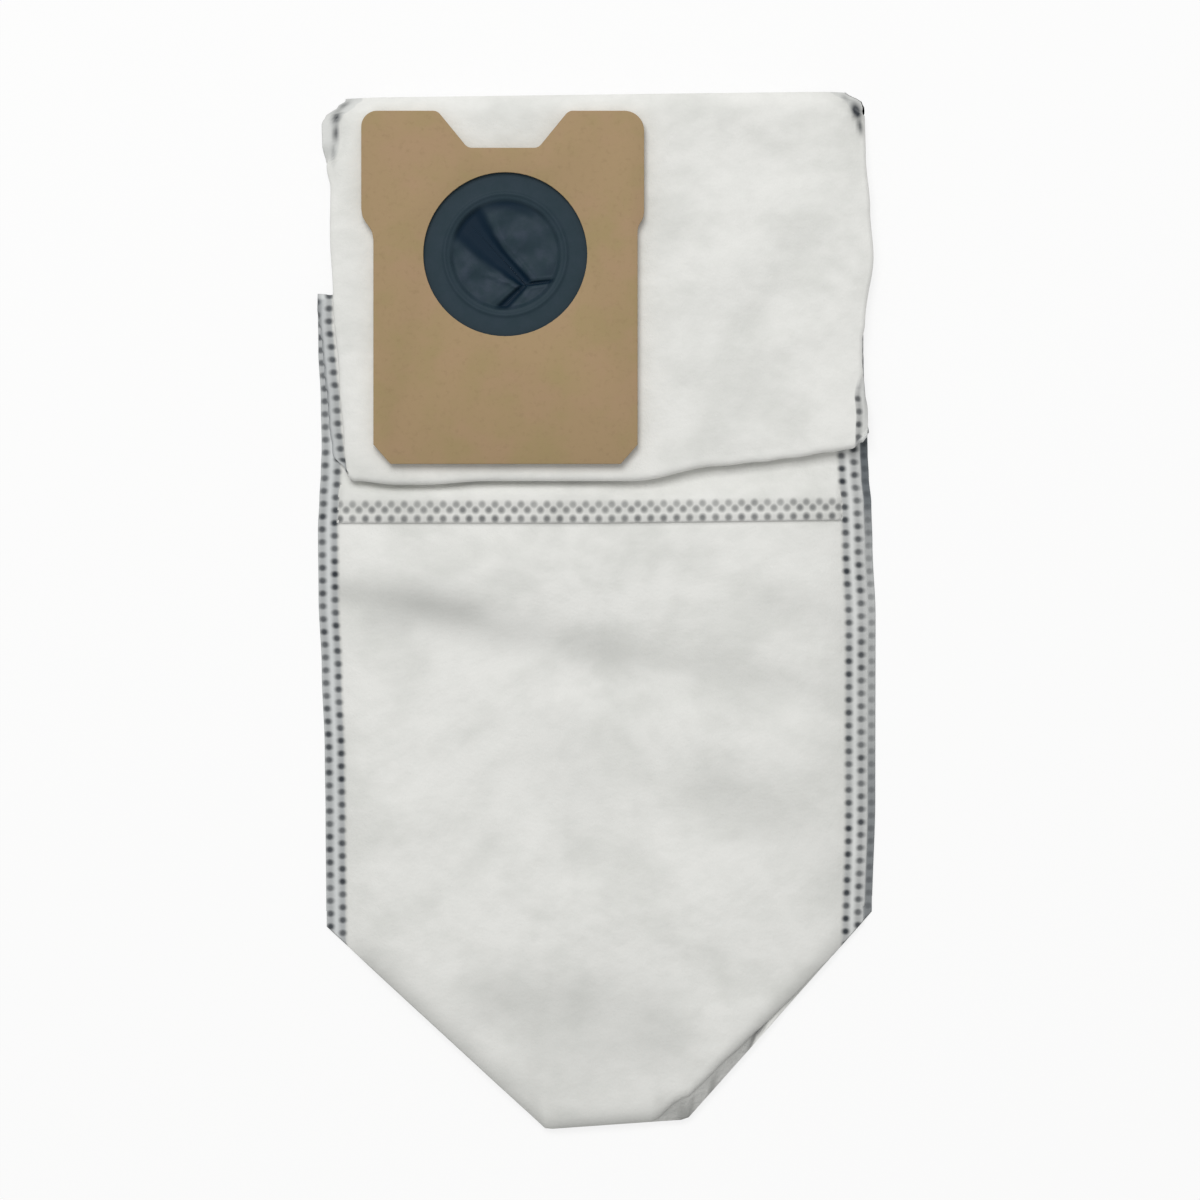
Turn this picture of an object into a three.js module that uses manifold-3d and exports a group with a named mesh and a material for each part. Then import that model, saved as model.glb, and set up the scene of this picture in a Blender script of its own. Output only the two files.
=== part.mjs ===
// Dust bag of an upright vacuum cleaner, as it lies flat with its collar end folded over.
// Millimetres, +Z up. X runs across the bag, +Y points to the collar end and the floor is z = 0.
// One fleece web is wrapped into a tube, lapped and welded across the front, and its two open
// sides are closed by rows of weld dots. The tube lies in a Z: the body, a hidden middle layer,
// and the flap on top, which carries the card collar and its rubber seal.
import * as THREE from 'three';
import { mergeVertices } from 'three/addons/utils/BufferGeometryUtils.js';
import Module from 'manifold-3d';

const wasm = await Module();
wasm.setup();

// Fleece
const ply = 0.9;
const weldThickness = 1.1;
const wallFromWeld = 4;
const airGap = 0.4;
const foldGap = 0.5;

// Bag, laid flat
const bagWidth = 197;
const bodyLength = 295.4;
const foldSlant = 14.5;
const flapDrop = 66;
const flapLength = 138.3;
const flapCornerRise = 15;
const flapBend = 12;
const bodyRise = 6.4;
const flapAir = 2.2;
const fillReach = 14;
const flapFillReach = 7;
const endRound = 7;
const footRound = 4;

// Bottom corners, tucked in between the plies
const leftTuck = { across: 77.7, up: 71.6 };
const rightTuck = { across: 67.7, up: 79.4 };
const footSlant = 3.5;
const tuckSlit = 0.6;
const tuckInset = 12;
const frontSetBack = 3;

// Side welds
const stripWidth = 7;
const dotDiameter = 2;
const dotDepth = 0.4;
const dotPitch = 4.6;
const dotRowGap = 4.6;
const dotEdge = 1.6;
const stripCurl = 1.3;
const stripTurn = 150;

// Lap weld across the front
const lapFromFoot = 214.5;
const lapSlant = 1.4;
const lapStep = 0.55;
const lapDotEdge = 2;
const lapRowGap = 3.4;
const lapRowNear = 1.8;

// Collar: two boards with the seal between them
const collarWidth = 100;
const collarLength = 124.8;
const collarShoulder = { left: 4.3, right: 2.3 };
const shoulderFromInlet = { left: 16, right: 15 };
const shoulderSlope = { left: 11, right: 7 };
const collarRound = { left: 5.6, right: 7 };
const collarChamfer = { across: 6, up: 6.8 };
const notchWidth = 46.4;
const notchFloor = 25;
const notchDepth = 13.1;
const notchRound = 1.6;
const notchOffset = -0.8;
const frontBoard = 1.8;
const rearBoard = 1.8;
const glueFilm = 0.3;
const inletFromTop = 50.7;
const inletFromLeft = 50.9;
const collarFromFold = 6.7;
const collarFromMiddle = 84;

// Seal
const inletDiameter = 58;
const sealDiameter = 66;
const sealThickness = 0.7;
const sealClearance = 0.2;
const rearHole = 42;
const fleeceHole = 46;
const sealBead = 0.5;
const flapSag = 3.6;
const slitWidth = 1.1;
const slitWide = 6.5;
const slitMeet = new THREE.Vector2(7.3, -10.3);
const slitEnds = [
  new THREE.Vector2(-16.3, 10.8),
  new THREE.Vector2(16.8, -10.4),
  new THREE.Vector2(-1.6, -19.6),
];

const fleeceMaterial = new THREE.MeshStandardMaterial({ color: 0xdedfdc, roughness: 0.95, metalness: 0 });
const cardMaterial = new THREE.MeshStandardMaterial({ color: 0xa38e6e, roughness: 0.9, metalness: 0 });
const rubberMaterial = new THREE.MeshStandardMaterial({ color: 0x39434d, roughness: 0.55, metalness: 0 });

const { lerp, clamp, smoothstep } = THREE.MathUtils;

// Levels along the bag, measured from the bottom fold, and heights above the floor
const flapFold = bodyLength - flapDrop;
const bagEnd = flapFold + flapLength;
const pressed = ply + airGap / 2;
const weldHalf = weldThickness / 2;
const middleFloor = 2 * pressed + foldGap;
const flapFloor = middleFloor + 2 * pressed + foldGap;
const collarSeat = flapFloor + 2 * ply + flapAir;
const halfWidth = bagWidth / 2;

// The edges waver a little, as cut fleece does: [share of the body's or flap's length, place outwards]
const bodyLeft = [[0.24, -2.1], [0.37, -1.7], [0.73, 0.7], [0.82, 1], [0.93, 0.2], [1, 1]];
const bodyRight = [[0.27, 0.4], [0.4, 0.1], [0.64, -1], [0.76, -2], [0.91, -2], [1, -2.4]];
const flapLeft = [[0, -5.2], [0.2, -5.6], [0.51, -4.6], [0.83, -3], [0.92, -3], [1, -8.5]];
const flapRight = [[0, -2.6], [0.28, -2.8], [0.55, -1.6], [0.76, -3.2], [0.92, -5.2], [1, -9.5]];

// Reads a wavering edge at one share of its length, eased from point to point
function waver(points, share) {
  let out = points[0][1];
  for (let i = 1; i < points.length; i += 1) {
    const [from, to] = [points[i - 1], points[i]];
    out += (to[1] - from[1]) * smoothstep(share, from[0], to[0]);
  }
  return out;
}

const leftEdge = (y) => -halfWidth - waver(bodyLeft, y / bodyLength);
const rightEdge = (y) => halfWidth + waver(bodyRight, y / bodyLength);

// Lower outline: the left tuck, the bottom fold and the right tuck
const footLeft = leftEdge(leftTuck.up) + leftTuck.across;
const footRight = rightEdge(rightTuck.up) - rightTuck.across;

function footEdge(x) {
  if (x < footLeft) return leftTuck.up * (footLeft - x) / leftTuck.across;
  if (x < footRight) return footSlant * (x - footLeft) / (footRight - footLeft);
  return footSlant + (rightTuck.up - footSlant) * (x - footRight) / rightTuck.across;
}

const lapEdge = (x) => lapFromFoot + lapSlant * clamp(x / halfWidth, 0, 1);
const upperFold = (x) => bodyLength - foldSlant * clamp((x + halfWidth) / bagWidth, 0, 1);

// Lower fold of the flap: level at the left, rising in a straight line to its right corner
const lowerFold = (x) => flapFold + flapCornerRise * Math.max(0, x - flapBend) / (halfWidth - flapBend);

// How far the fleece has filled out at a place this far in from the side welds
const crown = (inward, reach) => 1 - (1 - clamp(inward / reach, 0, 1)) ** 2;
const rounding = (inward, reach) => Math.sqrt(1 - (1 - clamp(inward / reach, 0.03, 1)) ** 2);

// Half the height of the body at a place; it lies flatter where the flap presses on it
function bodyHalf(x, y, inward) {
  const fill = lerp(bodyRise / 2, pressed, smoothstep(y, lapFromFoot - 25, flapFold + 8));
  return lerp(weldHalf, fill, crown(inward, fillReach));
}

// Collar's place on the flap
const collarLeft = -collarFromMiddle;
const collarBottom = flapFold + collarFromFold;
const collarTop = collarBottom + collarLength;
const inlet = new THREE.Vector2(collarLeft + inletFromLeft, collarTop - inletFromTop);

// Height of the flap's upper face: level under the collar, lower towards its edges
function flapFront(x, y, inward) {
  const across = crown(inward, flapFillReach);
  const beyond = smoothstep(x, collarLeft + collarWidth + 4, collarLeft + collarWidth + 70);
  const upwards = smoothstep(y, lowerFold(x), lowerFold(x) + collarFromFold);
  const level = lerp(flapFloor + 2 * pressed, collarSeat - 1.4 * beyond, upwards);
  return lerp(flapFloor + pressed + weldHalf, level, across);
}

// Height of its underside, which comes down to the floor past the upper fold
function flapBack(x, y, inward) {
  const past = smoothstep(y, upperFold(x) + 2, upperFold(x) + 26);
  return lerp(flapFloor + pressed - weldHalf, lerp(flapFloor, 0, past), crown(inward, flapFillReach + 2));
}

// A place in one zone of the bag: its middle, the way its front faces, and half its thickness
function place(zone, v, x, inward) {
  const half = (y) => bodyHalf(x, y, inward);
  const flat = lerp(weldHalf, pressed, crown(inward, fillReach));
  if (zone === 'body' || zone === 'top') {
    const [from, to] = zone === 'body' ? [footEdge(x), lapEdge(x)] : [lapEdge(x) + 0.1, upperFold(x)];
    const y = lerp(from, to, v);
    const lap = zone === 'top' ? lapStep * (1 - smoothstep(y, lapEdge(x) + 8, lapEdge(x) + 14)) : 0;
    const size = half(y) * rounding((y - footEdge(x)) * 0.8, footRound);
    const rise = lap * crown(inward, 3) / 2;
    return { at: [x, y, half(y) + rise], facing: [0, 0, 1], half: size + rise };
  }
  const bodyAt = half(upperFold(x));
  const middleAt = 2 * bodyAt + foldGap + flat;
  const flapAt = middleAt + 2 * flat + foldGap;
  if (zone === 'upperFold' || zone === 'lowerFold') {
    const upper = zone === 'upperFold';
    const angle = Math.PI * v;
    const [low, high] = upper ? [bodyAt, middleAt] : [middleAt, flapAt];
    const bend = (high - low) / 2;
    const out = bend * Math.sin(angle);
    const y = upper ? upperFold(x) + out : lowerFold(x) + pressed + bend - out;
    const facing = upper
      ? [0, -Math.sin(angle), Math.cos(angle)]
      : [0, -Math.sin(angle), -Math.cos(angle)];
    return { at: [x, y, low + bend - bend * Math.cos(angle)], facing, half: flat };
  }
  if (zone === 'middle') {
    const y = lerp(upperFold(x), lowerFold(x) + pressed * 2, v);
    return { at: [x, y, middleAt], facing: [0, 0, -1], half: flat };
  }
  const y = lerp(lowerFold(x) + pressed * 2, bagEnd, v);
  const opened = smoothstep(y, lowerFold(x), lowerFold(x) + 8);
  const front = lerp(flapAt + flat, flapFront(x, y, inward), opened);
  const back = lerp(flapAt - flat, flapBack(x, y, inward), opened);
  const size = weldHalf + ((front - back) / 2 - weldHalf) * rounding(bagEnd - y, endRound);
  return { at: [x, y, (front + back) / 2], facing: [0, 0, 1], half: size };
}

// Creases where the side welds begin, at one row of a zone
function creases(zone, v) {
  if (zone === 'body') {
    return [
      leftEdge(lerp(leftTuck.up, lapFromFoot, v)) + stripWidth,
      rightEdge(lerp(rightTuck.up, lapFromFoot, v)) - stripWidth,
    ];
  }
  if (zone === 'top') {
    const y = lerp(lapFromFoot, bodyLength, v);
    return [leftEdge(y) + stripWidth, rightEdge(y) - stripWidth];
  }
  const upper = [leftEdge(bodyLength) + stripWidth, rightEdge(bodyLength) - stripWidth];
  if (zone === 'upperFold') return upper;
  const along = zone === 'flap' ? v : 0;
  const angle = turn(zone, v);
  const straight = Math.max(0, stripWidth - stripCurl * angle) * Math.max(0, Math.cos(angle));
  const reachOut = stripCurl * Math.sin(Math.min(angle, Math.PI / 2)) + straight;
  const outwards = reachOut + weldHalf * Math.sin(Math.min(angle, Math.PI / 2));
  const flap = [
    -halfWidth - waver(flapLeft, along) + outwards,
    halfWidth + waver(flapRight, along) - outwards,
  ];
  return zone === 'middle' ? [lerp(upper[0], flap[0], v), lerp(upper[1], flap[1], v)] : flap;
}

// How far the weld strip has turned under the flap's edge, in radians
function turn(zone, v) {
  if (zone !== 'flap') return 0;
  const level = v * flapLength;
  const end = smoothstep(flapLength - level, 3, 22);
  return THREE.MathUtils.degToRad(stripTurn) * smoothstep(level, 3, 26) * lerp(0.15, 1, end);
}

const stripSteps = [0, 0.17, 0.34, 0.54, 1].map((share) => share * stripWidth);
const insideSteps = [0.012, 0.03, 0.06, 0.12, 0.22, 0.32, 0.54, 0.76, 0.88, 0.94, 0.97, 0.988];
const [footStart, footStop] = creases('body', 0);
const footShares = [footLeft, footRight].map((x) => (x - footStart) / (footStop - footStart));
const columns = [
  ...stripSteps.slice(1).reverse().map((out) => ({ side: -1, out })),
  { share: 0 },
  ...[...insideSteps, ...footShares].sort((a, b) => a - b).map((share) => ({ share })),
  { share: 1 },
  ...stripSteps.slice(1).map((out) => ({ side: 1, out })),
];

const flapSteps = [0.025, 0.055, 0.1, 0.17, 0.26, 0.4, 0.55, 0.7, 0.82, 0.92, 0.96, 0.985, 0.996, 1];
const steps = (count) => Array.from({ length: count + 1 }, (_, i) => i / count);
const rows = [
  ...[0, 0.008, 0.025, 0.055, 0.1].map((v) => ['body', v]),
  ...steps(6).slice(1).map((v) => ['body', lerp(0.1, 1, v)]),
  ...steps(4).map((v) => ['top', v]),
  ...steps(6).slice(1).map((v) => ['upperFold', v]),
  ...steps(3).slice(1).map((v) => ['middle', v]),
  ...steps(6).slice(1).map((v) => ['lowerFold', v]),
  ...flapSteps.map((v) => ['flap', v]),
];

// A point on one skin of the bag, front or back, with the skin moved inwards by `inset`
function skinPoint([zone, v], column, skin, inset) {
  const [left, right] = creases(zone, v);
  const out = column.out ?? 0;
  const x = column.side ? (column.side < 0 ? left : right) : lerp(left, right, column.share);
  const flat = zone === 'flap' ? 0 : out;
  const inward = column.side ? -out : Math.min(x - left, right - x);
  const spot = place(zone, v, x + (column.side ?? 0) * flat, inward);
  const at = new THREE.Vector3(...spot.at);
  const facing = new THREE.Vector3(...spot.facing);
  if (zone === 'flap' && column.side) {
    const angle = Math.min(out / stripCurl, turn(zone, v));
    const straight = out - angle * stripCurl;
    at.x += column.side * (stripCurl * Math.sin(angle) + straight * Math.cos(angle));
    at.z -= stripCurl * (1 - Math.cos(angle)) + straight * Math.sin(angle);
    facing.applyAxisAngle(new THREE.Vector3(0, 1, 0), column.side * angle);
  }
  return at.addScaledVector(facing, skin * Math.max(spot.half - inset, inset ? airGap / 2 : 0));
}

// Joins a grid of front points and a grid of back points into one closed body
function closedSkin(front, back) {
  const [height, width] = [front.length, front[0].length];
  const [top, side] = [height - 1, width - 1];
  const index = (layer, i, j) => (layer * height + i) * width + j;
  const faces = [];
  const quad = (a, b, c, d) => faces.push(a, b, c, a, c, d);
  for (let i = 0; i < top; i += 1) {
    for (let j = 0; j < side; j += 1) {
      quad(index(0, i, j), index(0, i, j + 1), index(0, i + 1, j + 1), index(0, i + 1, j));
      quad(index(1, i, j), index(1, i + 1, j), index(1, i + 1, j + 1), index(1, i, j + 1));
    }
    quad(index(0, i, 0), index(0, i + 1, 0), index(1, i + 1, 0), index(1, i, 0));
    quad(index(0, i, side), index(1, i, side), index(1, i + 1, side), index(0, i + 1, side));
  }
  for (let j = 0; j < side; j += 1) {
    quad(index(0, 0, j), index(1, 0, j), index(1, 0, j + 1), index(0, 0, j + 1));
    quad(index(0, top, j), index(0, top, j + 1), index(1, top, j + 1), index(1, top, j));
  }
  const geometry = new THREE.BufferGeometry();
  const points = [...front.flat(), ...back.flat()].flatMap((p) => [p.x, p.y, p.z]);
  geometry.setAttribute('position', new THREE.Float32BufferAttribute(points, 3));
  geometry.setIndex(faces);
  return geometry;
}

function solid(geometry) {
  const bare = geometry.clone();
  bare.deleteAttribute('normal');
  bare.deleteAttribute('uv');
  const merged = mergeVertices(bare, 1e-4);
  const vertProperties = new Float32Array(merged.attributes.position.array);
  const triVerts = new Uint32Array(merged.index.array);
  return new wasm.Manifold(new wasm.Mesh({ numProp: 3, vertProperties, triVerts }));
}

function geometryOf(manifold) {
  const mesh = manifold.getMesh();
  const geometry = new THREE.BufferGeometry();
  geometry.setAttribute('position', new THREE.BufferAttribute(new Float32Array(mesh.vertProperties), 3));
  geometry.setIndex(new THREE.BufferAttribute(new Uint32Array(mesh.triVerts), 1));
  return geometry;
}

// An upright prism over a flat shape, from one height to another
function prism(shape, low, high, curveSegments = 5) {
  const options = { depth: high - low, bevelEnabled: false, curveSegments };
  return new THREE.ExtrudeGeometry(shape, options).translate(0, 0, low);
}

function disc(x, y, radius, low, high, segments = 72) {
  const geometry = new THREE.CylinderGeometry(radius, radius, high - low, segments);
  return geometry.rotateX(Math.PI / 2).translate(x, y, (low + high) / 2);
}

// The air inside: it runs through all three layers, but stops above the tucked corners,
// between which it reaches down to the bottom fold
function bagAir() {
  const shares = [0, 0.03, 0.08, 0.16, 0.28, 0.4, 0.52, 0.64, 0.76, 0.86, 0.93, 0.97, 1];
  const tuckTop = Math.max(leftTuck.up, rightTuck.up);
  const level = (y) => ({ y, share: (y - tuckTop) / (lapFromFoot - tuckTop) });
  const airRows = [
    ...[footRound + 2 * frontSetBack, tuckTop / 2, tuckTop + 2].map((y) => ({ ...level(y), narrow: true })),
    level(tuckTop + 3),
    ...rows.filter(([zone, v]) => zone !== 'body' || v > 0.5).slice(0, -1).map((row) => ({ row })),
  ];
  const point = ({ y, share, narrow, row }, along, skin) => {
    const [left, right] = narrow ? [footLeft, footRight] : creases(...(row ?? ['body', share]));
    const x = lerp(left + wallFromWeld, right - wallFromWeld, along);
    const inward = narrow ? bagWidth / 4 : Math.min(x - left, right - x);
    const [zone, v] = row ?? ['body', (y - footEdge(x)) / (lapEdge(x) - footEdge(x))];
    const spot = place(zone, v, x, inward);
    const size = Math.max(spot.half - ply, airGap / 2);
    return new THREE.Vector3(...spot.at).addScaledVector(new THREE.Vector3(...spot.facing), skin * size);
  };
  const grid = (skin) => airRows.map((row) => shares.map((share) => point(row, share, skin)));
  return closedSkin(grid(1), grid(-1));
}

// Pits pressed by the weld tool: small six-sided cones, point down
function pit(x, y, top) {
  const reach = 0.3;
  const height = dotDepth + reach;
  const wide = dotDiameter / 2 * height / dotDepth;
  const cone = new THREE.ConeGeometry(wide, height, 6);
  return cone.rotateX(-Math.PI / 2).translate(x, y, top + reach - height / 2);
}

function sideWeldPits() {
  const pits = [];
  const topOf = (x, y, inward) => 2 * bodyHalf(x, y, inward);
  const run = (edge, sign, low, high) => {
    for (let row = 0; row < 2; row += 1) {
      const inset = dotEdge + row * dotRowGap;
      for (let y = low + row * dotPitch / 2; y < high; y += dotPitch) {
        const inward = inset - stripWidth;
        pits.push(pit(edge(y) + sign * inset, y, topOf(edge(y), y, inward)));
      }
    }
  };
  run(leftEdge, 1, leftTuck.up + 3, flapFold + 4);
  run(rightEdge, -1, rightTuck.up + 3, flapFold + flapCornerRise - 3);
  return pits;
}

function lapWeldPits() {
  const pits = [];
  const [left, right] = [leftEdge(lapFromFoot) + stripWidth + 1, rightEdge(lapFromFoot) - stripWidth - 1];
  const rowsUp = [lapDotEdge, lapDotEdge + lapRowGap, lapDotEdge + lapRowGap + lapRowNear];
  rowsUp.forEach((up, row) => {
    const shift = row === 1 ? dotPitch / 2 : 0;
    for (let x = left + shift; x < right; x += dotPitch) {
      const inward = Math.min(x - left, right - x) + 1;
      const y = lapEdge(x) + up;
      pits.push(pit(x, y, 2 * bodyHalf(x, y, inward) + lapStep * crown(inward, 3)));
    }
  });
  return pits;
}

// Slits of the two tucked corners, open along the slanting edges
function tuckSlits() {
  const beyond = 6;
  const flare = (corner, foot, inner) => new THREE.Shape([corner, inner, foot]);
  const left = flare(
    new THREE.Vector2(footLeft - leftTuck.across + tuckInset - beyond, leftTuck.up - tuckInset - beyond),
    new THREE.Vector2(footLeft - tuckInset * 0.3 - beyond, -beyond),
    new THREE.Vector2(footLeft - tuckInset * 0.3, leftTuck.up - tuckInset),
  );
  const right = flare(
    new THREE.Vector2(footRight + tuckInset * 0.3 + beyond, footSlant - beyond),
    new THREE.Vector2(footRight + rightTuck.across - tuckInset + beyond, rightTuck.up - tuckInset - beyond),
    new THREE.Vector2(footRight + tuckInset * 0.3, rightTuck.up - tuckInset),
  );
  return [left, right].map((shape) => prism(shape, (bodyRise - tuckSlit) / 2, (bodyRise + tuckSlit) / 2));
}

// The front ply's edge lies a little behind the back ply's along the right corner
function frontTrim() {
  const corner = new THREE.Vector2(footRight + rightTuck.across, rightTuck.up);
  const foot = new THREE.Vector2(footRight, footSlant);
  const along = corner.clone().sub(foot).normalize();
  const inwards = new THREE.Vector2(-along.y, along.x);
  const spot = (from, up, inset) => from.clone().addScaledVector(along, up).addScaledVector(inwards, inset);
  const outline = [
    spot(foot, -14, -8),
    spot(corner, -8, -8),
    spot(corner, -8, 0.6),
    spot(foot, 20, frontSetBack),
    spot(foot, 8, frontSetBack + 3),
    spot(foot, -1, frontSetBack + 2.5),
    spot(foot, -14, frontSetBack - 6),
  ];
  return prism(new THREE.Shape(outline), bodyRise / 2, bodyRise + 5);
}

function fleeceBag() {
  const grid = (skin) => rows.map((row) => columns.map((column) => skinPoint(row, column, skin, 0)));
  const outer = solid(closedSkin(grid(1), grid(-1)));
  const hole = disc(inlet.x, inlet.y, fleeceHole / 2, collarSeat - ply - 0.5, collarSeat + 2, 48);
  const cuts = [bagAir(), hole, ...tuckSlits(), frontTrim(), ...sideWeldPits(), ...lapWeldPits()];
  const cutter = wasm.Manifold.union(cuts.map(solid));
  return geometryOf(outer.subtract(cutter));
}

// Outline of both boards, from the inlet's centre
function collarShape() {
  const left = -inletFromLeft;
  const right = collarWidth - inletFromLeft;
  const top = inletFromTop;
  const bottom = inletFromTop - collarLength;
  const { across, up } = collarChamfer;
  const lowLeft = left + collarShoulder.left;
  const lowRight = right - collarShoulder.right;
  const [mouth, floor] = [notchWidth / 2, notchFloor / 2];
  const ease = notchRound / Math.hypot(mouth - floor, notchDepth);
  const slope = { x: (mouth - floor) * ease, y: notchDepth * ease };
  const shape = new THREE.Shape();
  shape.moveTo(lowLeft + across, bottom);
  shape.lineTo(lowRight - across, bottom);
  shape.lineTo(lowRight, bottom + up);
  shape.lineTo(lowRight, shoulderFromInlet.right - shoulderSlope.right);
  shape.bezierCurveTo(
    lowRight, shoulderFromInlet.right - shoulderSlope.right / 2,
    right, shoulderFromInlet.right - shoulderSlope.right / 2,
    right, shoulderFromInlet.right,
  );
  shape.lineTo(right, top - collarRound.right);
  shape.absarc(right - collarRound.right, top - collarRound.right, collarRound.right, 0, Math.PI / 2);
  shape.lineTo(notchOffset + mouth + notchRound, top);
  shape.quadraticCurveTo(notchOffset + mouth, top, notchOffset + mouth - slope.x, top - slope.y);
  shape.lineTo(notchOffset + floor + slope.x, top - notchDepth + slope.y);
  shape.quadraticCurveTo(
    notchOffset + floor, top - notchDepth,
    notchOffset + floor - notchRound, top - notchDepth,
  );
  shape.lineTo(notchOffset - floor + notchRound, top - notchDepth);
  shape.quadraticCurveTo(
    notchOffset - floor, top - notchDepth,
    notchOffset - floor - slope.x, top - notchDepth + slope.y,
  );
  shape.lineTo(notchOffset - mouth + slope.x, top - slope.y);
  shape.quadraticCurveTo(notchOffset - mouth, top, notchOffset - mouth - notchRound, top);
  shape.lineTo(left + collarRound.left, top);
  shape.absarc(left + collarRound.left, top - collarRound.left, collarRound.left, Math.PI / 2, Math.PI);
  shape.lineTo(left, shoulderFromInlet.left);
  shape.bezierCurveTo(
    left, shoulderFromInlet.left - shoulderSlope.left / 2,
    lowLeft, shoulderFromInlet.left - shoulderSlope.left / 2,
    lowLeft, shoulderFromInlet.left - shoulderSlope.left,
  );
  shape.lineTo(lowLeft, bottom + up);
  shape.closePath();
  return shape;
}

// Front board, with the round inlet that the nozzle enters
function frontCard() {
  const board = solid(prism(collarShape(), 0, frontBoard));
  return geometryOf(board.subtract(solid(disc(0, 0, inletDiameter / 2, -1, frontBoard + 1))));
}

// Rear board, with a smaller hole and a round recess that holds the seal's rim
const recessDepth = sealThickness + sealClearance - glueFilm / 3;

function rearCard() {
  const board = solid(prism(collarShape(), 0, rearBoard));
  const recess = disc(0, 0, sealDiameter / 2 + sealClearance, rearBoard - recessDepth, rearBoard + 1);
  const hole = disc(0, 0, rearHole / 2, -1, rearBoard + 1, 48);
  return geometryOf(board.subtract(solid(recess)).subtract(solid(hole)));
}

// Seal: a moulded disc with a raised bead, slit in a Y so that three flaps sag inwards
function seal() {
  const rim = sealDiameter / 2;
  const inner = rearHole / 2 - 1;
  const bead = inner + 1.4;
  const dish = (r) => -flapSag * (1 - (r / inner) ** 2) ** 0.8;
  const ridge = [[1, 0], [0.5, 0.7], [0, 1], [-0.6, 0.6]].map(([out, up]) => [bead + out, sealBead * up]);
  const radii = [1, 0.93, 0.78, 0.55, 0.25, 0].map((share) => inner * share);
  const upper = [[rim, 0], ...ridge, ...radii.map((r) => [r, dish(r)])];
  const lower = [...radii.map((r) => [r, dish(r) - sealThickness]).reverse(), [rim, -sealThickness]];
  const outline = [...lower, ...upper].map(([r, z]) => new THREE.Vector2(r, z));
  const body = new THREE.LatheGeometry(outline, 48).rotateX(Math.PI / 2);
  return geometryOf(slitShapes().reduce((left, cut) => left.subtract(solid(cut)), solid(body)));
}

// The three arms of the Y; the long one gapes towards the rim
function slitShapes() {
  const depth = flapSag + sealThickness + 2;
  return slitEnds.map((end, i) => {
    const along = end.clone().sub(slitMeet).normalize();
    const across = new THREE.Vector2(-along.y, along.x);
    const near = slitMeet.clone().addScaledVector(along, -slitWidth / 2);
    const [thin, wide] = [slitWidth / 2, (i === 0 ? slitWide : slitWidth) / 2];
    const outline = [
      near.clone().addScaledVector(across, -thin),
      near.clone().addScaledVector(across, thin),
      end.clone().addScaledVector(across, wide),
      end.clone().addScaledVector(across, -wide),
    ];
    return prism(new THREE.Shape(outline.reverse()), -depth, sealBead * 0.5);
  });
}

function part(name, geometry, material, x, y, z) {
  const mesh = new THREE.Mesh(geometry, material);
  mesh.name = name;
  mesh.position.set(x, y, z);
  return mesh;
}

const rearLevel = collarSeat + glueFilm;
const frontLevel = rearLevel + rearBoard + glueFilm;
const sealLevel = rearLevel + rearBoard - recessDepth + sealClearance + sealThickness;

const dustBag = new THREE.Group();
dustBag.add(part('fleece_bag', fleeceBag(), fleeceMaterial, 0, 0, 0));
dustBag.add(part('collar_rear_card', rearCard(), cardMaterial, inlet.x, inlet.y, rearLevel));
dustBag.add(part('seal_membrane', seal(), rubberMaterial, inlet.x, inlet.y, sealLevel));
dustBag.add(part('collar_front_card', frontCard(), cardMaterial, inlet.x, inlet.y, frontLevel));

// The origin goes below the middle of the whole bag
const reach = new THREE.Box3().setFromObject(dustBag);
const middle = reach.getCenter(new THREE.Vector3());
dustBag.position.set(-middle.x, -middle.y, -reach.min.z);

export default dustBag;
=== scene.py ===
"""Vacuum dust bag: a folded fleece bag with dotted weld seams, a card collar and a slit rubber seal.

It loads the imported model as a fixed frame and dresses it: a fine fleece bag with its folds, plies
and weld dots, bevelled collar boards, a moulded seal with three sagging flaps, and a plain stage.
"""
import math
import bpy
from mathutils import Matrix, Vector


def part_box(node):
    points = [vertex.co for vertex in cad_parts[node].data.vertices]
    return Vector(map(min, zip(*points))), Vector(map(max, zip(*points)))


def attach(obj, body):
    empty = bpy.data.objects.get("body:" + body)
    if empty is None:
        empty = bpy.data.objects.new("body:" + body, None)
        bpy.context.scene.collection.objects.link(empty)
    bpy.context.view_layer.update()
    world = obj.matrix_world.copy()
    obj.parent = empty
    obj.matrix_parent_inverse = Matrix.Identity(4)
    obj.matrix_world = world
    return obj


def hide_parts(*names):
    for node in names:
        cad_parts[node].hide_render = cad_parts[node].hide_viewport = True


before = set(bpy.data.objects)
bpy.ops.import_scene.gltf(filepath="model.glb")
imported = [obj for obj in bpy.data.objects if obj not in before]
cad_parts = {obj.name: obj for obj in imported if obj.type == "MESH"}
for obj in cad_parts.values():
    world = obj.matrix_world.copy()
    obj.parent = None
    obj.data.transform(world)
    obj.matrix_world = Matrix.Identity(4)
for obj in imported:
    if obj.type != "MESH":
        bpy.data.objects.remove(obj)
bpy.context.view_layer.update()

from types import SimpleNamespace

import bmesh
import bpy
import numpy as np
from bpy.props import FloatProperty, FloatVectorProperty, PointerProperty
from mathutils import Vector

bl_info = {
    "name": "Vacuum dust bag",
    "version": (1, 0, 0),
    "blender": (4, 5, 0),
    "location": "3D View > Sidebar > Dust bag",
    "description": "Dresses the packed dust bag with fleece, board and rubber",
    "category": "Object",
}

MM = 0.001


# Sizes and colours

def srgb(text):
    """A linear colour from an sRGB hex value such as A38E6E."""
    channels = [int(text[i:i + 2], 16) / 255 for i in (0, 2, 4)]
    return tuple(c / 12.92 if c <= 0.04045 else ((c + 0.055) / 1.055) ** 2.4 for c in channels)


def length(name, millimetres, description):
    """A length property, kept in metres."""
    return FloatProperty(name=name, default=millimetres * MM, min=0, unit="LENGTH",
                         description=description)


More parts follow.
